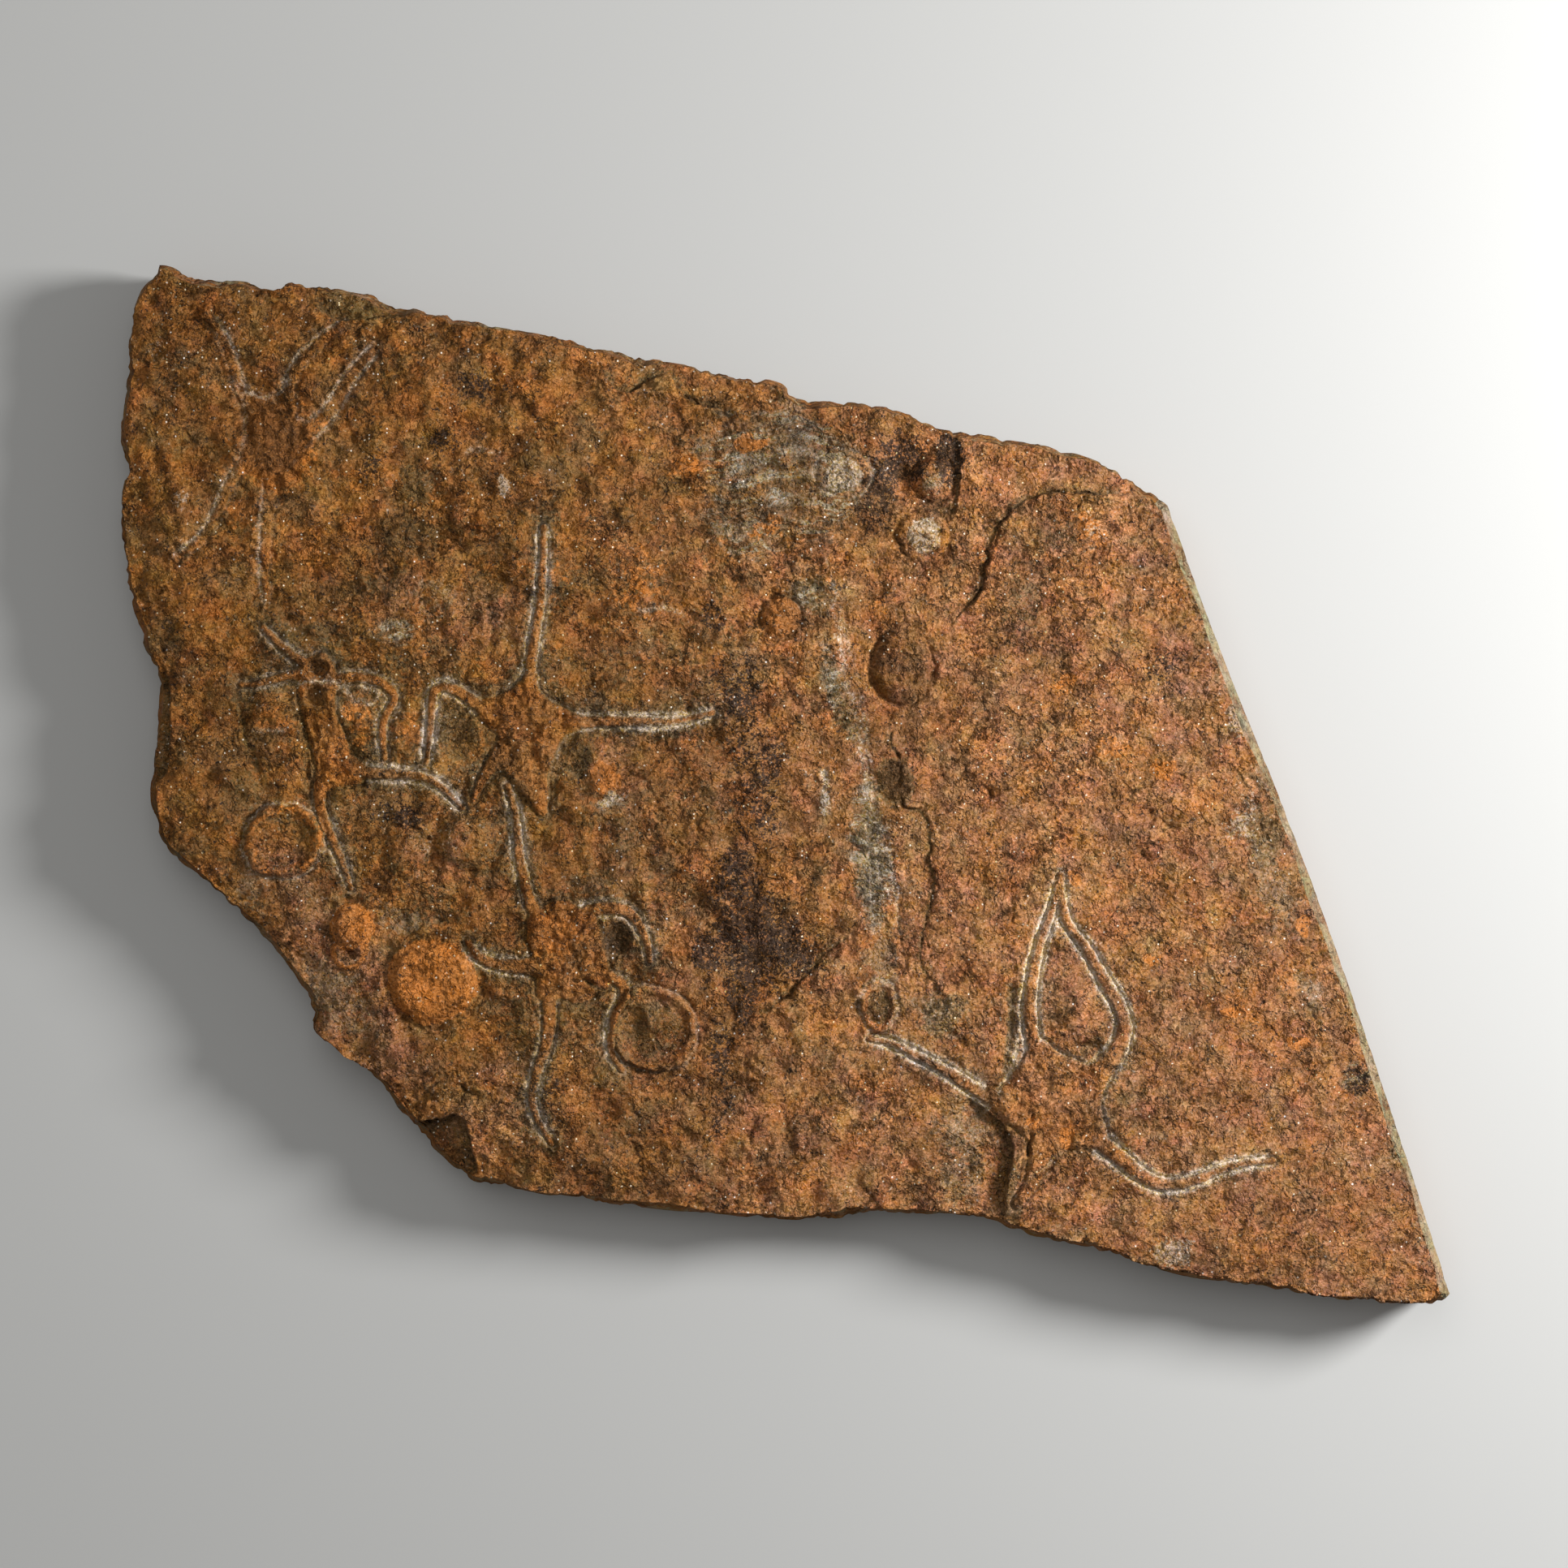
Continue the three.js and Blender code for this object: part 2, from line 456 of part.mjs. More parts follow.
// Points beside a path, at each of the offsets across it
function pointsAcross(path, step, offsetsAt) {
  const stations = walk(path, step);
  return stations.flatMap(([x, y], i) => {
    const [ax, ay] = stations[Math.max(i - 1, 0)];
    const [bx, by] = stations[Math.min(i + 1, stations.length - 1)];
    const length = Math.hypot(bx - ax, by - ay);
    const [acrossX, acrossY] = [(ay - by) / length, (bx - ax) / length];
    return offsetsAt(i / (stations.length - 1)).map((d) => [x + d * acrossX, y + d * acrossY]);
  });
}

// Rings of points about the middle of an ellipse, at the given shares of its radii
function pointsAround(shape, factors) {
  const points = [[shape.x, shape.y]];
  for (const factor of factors) {
    const around = 2 * Math.PI * Math.max(shape.rx, shape.ry) * factor;
    const count = Math.max(6, Math.round(around / ARM_STEP));
    for (let i = 0; i < count; i += 1) {
      const angle = (2 * Math.PI * (i + factor)) / count;
      points.push([shape.x + factor * shape.rx * Math.cos(angle),
        shape.y + factor * shape.ry * Math.sin(angle)]);
    }
  }
  return points;
}

// Staggered rows of points over plain ground, each a little out of line
function groundPoints() {
  const rowStep = GROUND_STEP * Math.sqrt(0.75);
  const rows = Math.ceil(HALF_WIDTH / rowStep);
  const columns = Math.ceil(HALF_LENGTH / GROUND_STEP);
  const points = [];
  for (let row = -rows; row <= rows; row += 1) {
    for (let column = -columns; column <= columns; column += 1) {
      const jitter = 0.15 * GROUND_STEP * Math.sin(12.9 * row + 78.2 * column);
      const stagger = row % 2 === 0 ? 0 : 0.5;
      points.push([(column + stagger) * GROUND_STEP + jitter, row * rowStep - jitter]);
    }
  }
  return points;
}

// Every point of the face: its rim, the crests, flanks and grooves of the arms, then the bodies,
// the ledges, the mounds and pits, and last the plain ground between them
function facePoints(rim) {
  const set = new PointSet(4);
  rim.forEach(([x, y]) => set.add(x, y));
  const offer = (points, clearOfOthers) => {
    for (const [x, y] of points) {
      if (!isInside(rim, x, y) || nearest([...rim, rim[0]], x, y).distance < CLEAR_OF_EDGE) continue;
      if (!set.near(x, y, clearOfOthers)) set.add(x, y);
    }
  };
  const arms = STARS.flatMap((star) => star.arms);
  const acrossArm = (arm, sides) => pointsAcross(arm.path, ARM_STEP, (along) => {
    const half = armHalfWidth(arm, along);
    return sides.flatMap((side) => [side[0] * half + side[1], -side[0] * half - side[1]]);
  });
  arms.forEach((arm) => offer(walk(arm.path, ARM_STEP), CLEAR_OF_POINT * 2));
  arms.forEach((arm) => offer(acrossArm(arm, [[0.9, 0]]), CLEAR_OF_POINT));
  arms.forEach((arm) => offer(
    acrossArm(arm, [[1, GROOVE_OFFSET], [1, TIP_APRON]]), CLEAR_OF_POINT));
  arms.forEach((arm) => {
    const [x, y] = arm.path[arm.path.length - 1];
    const radius = arm.tip / 2 + TIP_APRON;
    offer(pointsAround({ x, y, rx: radius, ry: radius }, [0.55, 1]), CLEAR_OF_POINT * 1.5);
  });
  STARS.forEach((star) => star.body.forEach(([x, y, radius]) => {
    offer(pointsAround({ x, y, rx: radius - BODY_EDGE, ry: radius - BODY_EDGE }, [1]), 1.6);
    offer(pointsAround({ x, y, rx: radius, ry: radius }, [1.06]), 1.6);
  }));
  LEDGES.forEach((ledge) => offer(
    pointsAcross(ledge.path, ARM_STEP, () => [0.3, -0.3]), CLEAR_OF_POINT * 0.7));
  LEDGES.forEach((ledge) => offer(pointsAcross(ledge.path, ARM_STEP, () => [-4, 3]), 2));
  TRENCHES.forEach((trench) => offer(
    pointsAcross(trench.path, ARM_STEP, () => [0, -2, 2]), 1.2));
  MOUNDS.forEach((mound) => offer(pointsAround(mound, [1 - mound.slope, 1]), 1.4));
  RINGS.forEach((ring) => offer(pointsAround(ring, [0.75, 1, 1.25]), 1.4));
  PITS.forEach((pit) => offer(pointsAround(pit, [1 - pit.slope, 1]), 0.9));
  offer(groundPoints(), CLEAR_OF_RELIEF);
  return set.points;
}

function backPoints(foot) {
  const points = foot.map(([x, y]) => [x, y]);
  const border = [...foot, foot[0]];
  for (let row = 0, y = -HALF_WIDTH; y < HALF_WIDTH; row += 1, y += BACK_STEP) {
    for (let x = -HALF_LENGTH + row; x < HALF_LENGTH; x += BACK_STEP) {
      const clear = nearest(border, x, y).distance > EDGE_STEP * 2;
      if (isInside(foot, x, y) && clear) points.push([x, y]);
    }
  }
  return points;
}

// ---------------------------------------------------------------- the slab
function slabGeometry() {
  const outline = outlinePoints();
  const count = outline.length;
  const rim = sideRing(outline, 'rim', 1);
  const face = facePoints(rim.map(([x, y]) => [x, y]));
  const foot = sideRing(outline, 'foot', 5).map(([x, y]) => [x, y, 0]);
  const back = backPoints(foot);
  const vertices = [
    ...face.map(([x, y]) => [x, y, faceHeight(x, y)]),
    ...sideRing(outline, 'bulge', 2),
    ...sideRing(outline, 'waist', 3),
    ...back.map(([x, y]) => [x, y, 0]),
  ];
  const rings = [0, face.length, face.length + count, face.length + 2 * count];
  const triangles = trianglesInside(face, count);
  for (let band = 0; band + 1 < rings.length; band += 1) {
    for (let i = 0; i < count; i += 1) {
      const next = (i + 1) % count;
      const [upper, lower] = [rings[band], rings[band + 1]];
      triangles.push([upper + i, lower + i, lower + next], [upper + i, lower + next, upper + next]);
    }
  }
  for (const [a, b, c] of trianglesInside(back, count)) {
    triangles.push([rings[3] + a, rings[3] + c, rings[3] + b]);
  }
  const geometry = new THREE.BufferGeometry();
  geometry.setAttribute('position', new THREE.Float32BufferAttribute(vertices.flat(), 3));
  geometry.setIndex(triangles.flat());
  geometry.computeVertexNormals();
  return geometry;
}

const stone = new THREE.MeshStandardMaterial({
  color: 0xa56c38, roughness: 0.95, metalness: 0, flatShading: true });

const plate = new THREE.Mesh(slabGeometry(), stone);
plate.name = 'fossil_plate';

const part = new THREE.Group();
part.add(plate);

export default part;
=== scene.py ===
"""Dresses the sandstone plate: the slab, its five brittle stars, fossil discs, ledges and cracks.

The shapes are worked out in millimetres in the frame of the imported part: the plate lies on its
sawn back, +X along its length, +Z up out of the fossil face. Meshes are written in metres.
"""

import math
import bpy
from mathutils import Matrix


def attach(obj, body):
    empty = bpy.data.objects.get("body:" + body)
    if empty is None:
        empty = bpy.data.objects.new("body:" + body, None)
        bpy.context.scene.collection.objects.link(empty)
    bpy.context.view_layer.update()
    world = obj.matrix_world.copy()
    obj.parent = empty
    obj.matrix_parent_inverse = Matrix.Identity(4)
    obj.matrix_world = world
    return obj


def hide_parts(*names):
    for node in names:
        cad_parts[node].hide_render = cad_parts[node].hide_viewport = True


bl_info = {
    "name": "Brittle Star Fossil Plate",
    "version": (1, 0, 0),
    "blender": (4, 5, 0),
    "location": "View3D > Sidebar > Fossil Plate",
    "description": "Builds a sandstone plate with five brittle stars in low relief",
    "category": "Object",
}

import bpy
import numpy as np
from bpy.props import FloatProperty, FloatVectorProperty, PointerProperty
from bpy.types import Operator, Panel, PropertyGroup

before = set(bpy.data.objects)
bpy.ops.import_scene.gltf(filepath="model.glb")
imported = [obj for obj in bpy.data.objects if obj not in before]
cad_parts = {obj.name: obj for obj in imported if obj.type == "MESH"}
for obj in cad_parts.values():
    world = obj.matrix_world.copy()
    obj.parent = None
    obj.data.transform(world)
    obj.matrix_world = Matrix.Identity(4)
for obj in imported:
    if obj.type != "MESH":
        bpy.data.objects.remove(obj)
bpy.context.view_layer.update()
MM = 0.001
NODE = "fossil_plate"
BODY = "root"

LINE_STEP = 1.2                # spacing of the points along a drawn path
BODY_STEP = 0.8                # the same around the body of a star
EDGE_STEP = 3                  # the same around the plate
LATTICE = 256                  # squares along the lattice that noise is drawn on
LATTICE_START = 1000.5         # keeps lattice positions above zero
FAR = 6.0                      # fields of a fossil are worked out this far beyond it
ARM_SHARE = 0.86               # share of the width between an arm's lines that is arm
STAR_CLEAR = 1.5               # ground that an inlay takes in around a star
DISC_CLEAR = 1                 # around a disc
LINE_CLEAR = 1.6               # and to each side of a ledge, crack or trench
EDGE_CLEAR = 3.6               # inlays keep this far from the plate's edge
CEILING = 2.2                  # highest relief above the face
MARK_DEPTH, MARK_WIDTH = 0.25, 0.45    # depth and half width of a scribed mark
COLUMNS, ROWS = 296, 258       # cells of the plate's face along and across
SIDE_RINGS = 14                # rings of faces down the plate's side
SIDE_HEIGHT = 18               # plate height that the levels of the side are given for
BACK_RINGS = (0.8, 0.5, 0.2)   # size of the rings on the back as a share of its outline
SEAT_SLOPE = 0.7               # how steeply the plate sinks under an inlay
LEFT_DISCS = 4                 # so many of the discs make up the left inlay
LINES_SPLIT = -5               # x that parts the left ledges and cracks from the right ones


# ------------------------------------------------------------------ plane geometry, vectorised
def step(value, low, high):
    """Smooth step: 0 below low, 1 above high, three t squared less two t cubed between."""
    t = np.clip((value - low) / (high - low), 0, 1)
    return t * t * (3 - 2 * t)


def curve_through(path, spacing):
    """Centripetal Catmull-Rom curve through the points of path, walked at even steps.

    Each span is a cubic whose end slopes come from its neighbours, with the square root of
    each chord as its time."""
    points = np.asarray(path, float)
    ends = np.vstack([2 * points[0] - points[1], points, 2 * points[-1] - points[-2]])
    times = np.sqrt(np.linalg.norm(np.diff(ends, axis=0), axis=1))
    t = np.linspace(0, 1, 24, endpoint=False)[:, None]
    spans = []
    for i in range(len(points) - 1):
        a, b, c, d = ends[i:i + 4]
        before, span, after = times[i:i + 3]
        slope_b = ((b - a) / before - (c - a) / (before + span) + (c - b) / span) * span
        slope_c = ((c - b) / span - (d - b) / (span + after) + (d - c) / after) * span
        spans.append((2 * t**3 - 3 * t**2 + 1) * b + (t**3 - 2 * t**2 + t) * slope_b
                     + (3 * t**2 - 2 * t**3) * c + (t**3 - t**2) * slope_c)
    dense = np.vstack(spans + [points[-1:]])
    length = np.concatenate([[0], np.cumsum(np.linalg.norm(np.diff(dense, axis=0), axis=1))])
    count = max(2, round(length[-1] / spacing))
    even = np.linspace(0, length[-1], count + 1)
    return np.column_stack([np.interp(even, length, dense[:, k]) for k in (0, 1)])


def closed_curve(path, spacing):
    """The same curve through a closed loop of points."""
    around = curve_through(path[-2:] + path + path[:2], spacing)
    start = np.argmin(np.hypot(*(around[:len(around) // 2] - path[0]).T))
    end = len(around) // 2 + np.argmin(np.hypot(*(around[len(around) // 2:] - path[0]).T))
    return around[start:end + 1]


def even_points(path, count):
    """The same curve at count even steps, ends included."""
    fine = curve_through(path, 0.2)
    share = np.linspace(0, 1, len(fine))
    return np.column_stack([np.interp(np.linspace(0, 1, count + 1), share, fine[:, k])
                            for k in (0, 1)])


def nearest(line, x, y, reach):
    """Distance to a polyline, share of the way along it and side (+1 on its left).

    Points beyond reach keep the distance reach."""
    distance = np.full(x.shape, float(reach))
    along = np.zeros(x.shape)
    side = np.ones(x.shape)
    last = len(line) - 1
    block = 6                  # segments that are looked at together
    for start in range(0, last, block):
        part = line[start:start + block + 1]
        low, high = part.min(axis=0) - reach, part.max(axis=0) + reach
        near = np.flatnonzero((x > low[0]) & (x < high[0]) & (y > low[1]) & (y < high[1]))
        if near.size == 0:
            continue
        px, py = x[near], y[near]
        best, where, hand = distance[near], along[near], side[near]
        for i in range(len(part) - 1):
            ax, ay = part[i]
            dx, dy = part[i + 1] - part[i]
            t = np.clip(((px - ax) * dx + (py - ay) * dy) / (dx * dx + dy * dy), 0, 1)
            off = np.hypot(px - ax - t * dx, py - ay - t * dy)
            closer = off < best
            best = np.where(closer, off, best)
            where = np.where(closer, (start + i + t) / last, where)
            hand = np.where(closer, np.where(dx * (py - ay) - dy * (px - ax) < 0, -1, 1), hand)
        distance[near], along[near], side[near] = best, where, hand
    return distance, along, side


def noise(x, y, size, seed):
    """Gradient noise, about -1 to 1: a random slope at each corner of a lattice of the given
    size, blended across each square by a fifth-power fade."""
    turns = np.random.default_rng(seed).uniform(0, 2 * np.pi, (LATTICE, LATTICE))
    slope_x, slope_y = np.cos(turns), np.sin(turns)
    u, v = x / size + LATTICE_START, y / size + LATTICE_START
    i, j = np.floor(u).astype(int), np.floor(v).astype(int)
    f, g = u - i, v - j

    def corner(di, dj):
        a, b = (i + di) % LATTICE, (j + dj) % LATTICE
        return slope_x[a, b] * (f - di) + slope_y[a, b] * (g - dj)

    fade_x = f**3 * (f * (f * 6 - 15) + 10)
    fade_y = g**3 * (g * (g * 6 - 15) + 10)
    low = corner(0, 0) * (1 - fade_x) + corner(1, 0) * fade_x
    high = corner(0, 1) * (1 - fade_x) + corner(1, 1) * fade_x
    return 1.5 * (low * (1 - fade_y) + high * fade_y)


def fractal(x, y, size, octaves, seed, gain=0.5):
    """Sum of noises, each half the size and gain times the height of the one before."""
    total, height = np.zeros(x.shape), 1.0
    for octave in range(octaves):
        total += height * noise(x, y, size / 2**octave, seed + octave)
        height *= gain
    return total


def scattered(x, y, size, seed):
    """Distance, in lattice squares, to the nearest of points thrown one into each square of
    the given size, and that point's own random number."""
    throw = np.random.default_rng(seed).random((3, LATTICE, LATTICE))
    u, v = x / size + LATTICE_START, y / size + LATTICE_START
    i, j = np.floor(u).astype(int), np.floor(v).astype(int)
    best, number = np.full(x.shape, 9.0), np.zeros(x.shape)
    for di in (-1, 0, 1):
        for dj in (-1, 0, 1):
            a, b = (i + di) % LATTICE, (j + dj) % LATTICE
            off = np.hypot(i + di + throw[0, a, b] - u, j + dj + throw[1, a, b] - v)
            number = np.where(off < best, throw[2, a, b], number)
            best = np.minimum(best, off)
    return best, number


def is_inside(loop, x, y):
    """True where an odd number of the loop's edges lie to the right of the point."""
    result = np.zeros(x.shape, bool)
    for (ax, ay), (bx, by) in zip(loop, np.roll(loop, 1, axis=0)):
        if ay != by:
            crosses = (ay > y) != (by > y)
            result ^= crosses & (x < (bx - ax) * (y - ay) / (by - ay) + ax)
    return result


def smooth_least(values, blend):
    """Least of several distances, with the join between them rounded over blend: minus blend
    times the log of the sum of the exponentials."""
    values = np.asarray(values)
    least = values.min(axis=0)
    return least - blend * np.log(np.exp(-(values - least) / blend).sum(axis=0))


def bounding(points, clear):
    """Low and high corner of the points' box, widened by clear."""
    points = np.asarray(points)
    return points.min(axis=0) - clear, points.max(axis=0) + clear


def ellipse_radius(shape, x, y):
    """Distance from the middle of an oval as a share of its radius."""
    return np.hypot((x - shape["x"]) / shape["rx"], (y - shape["y"]) / shape["ry"])


# ------------------------------------------------------------------ outline, anticlockwise
LEFT_EDGE = [
    (-139.5, 116), (-143, 111), (-145.5, 104), (-147, 87.5), (-148.3, 78.5), (-147.5, 70.5),
    (-148, 58.5), (-146.5, 44.5), (-143.5, 32.5), (-140, 23), (-140, 13.5), (-141.2, 3),
    (-141, -6), (-138, -14), (-126.5, -24), (-112.5, -38.5), (-106, -49.5), (-105, -55.5),
    (-101.5, -58.2), (-98, -58.3), (-89.5, -68.2), (-78.5, -81.5)]
BOTTOM_EDGE = [
    (-78.5, -81.5), (-70.5, -88.2), (-58.5, -90.7), (-37, -94), (-21, -95.6), (8, -97.4),
    (18.5, -96.1), (29.5, -96), (47.5, -97.6), (50.5, -99.4), (69, -104.2), (92.5, -110.5),
    (117.5, -114.3), (139.5, -116.2), (146, -116), (148.3, -113.5)]
SAWN_EDGE = [
    (148.3, -113.5), (143, -97), (132, -63.5), (121.5, -33), (110.5, -3.5), (100, 22.5),
    (92, 43.5), (85.5, 62)]
TOP_EDGE = [
    (85.5, 62), (82.5, 65), (72.5, 71), (56.5, 76), (33, 80.3), (26, 83.3), (15, 85.3),
    (3.5, 86.2), (0, 89.3), (-15.5, 92.5), (-34.5, 96), (-48, 99.2), (-66, 102.5), (-81, 106),
    (-88, 107.2), (-92, 109.4), (-102, 110.9), (-109, 112), (-115.5, 110.7), (-120, 112.1),
    (-131.5, 113), (-137, 115.8), (-139.5, 116)]


# ------------------------------------------------------------------ fossils and relief
def follow(path, **sizes):
    """Something that follows a path, with its sizes."""
    return {"path": curve_through(path, LINE_STEP), **sizes}


def oval(x, y, rx, ry, rise, slope, **marks):
    """A dome or a pit on an ellipse: its centre, radii, rise, the share of the radius that
    slopes, and marks such as its kind of crust, ring, moat and scribed line."""
    return {"x": x, "y": y, "rx": rx, "ry": ry, "rise": rise, "slope": slope, **marks}


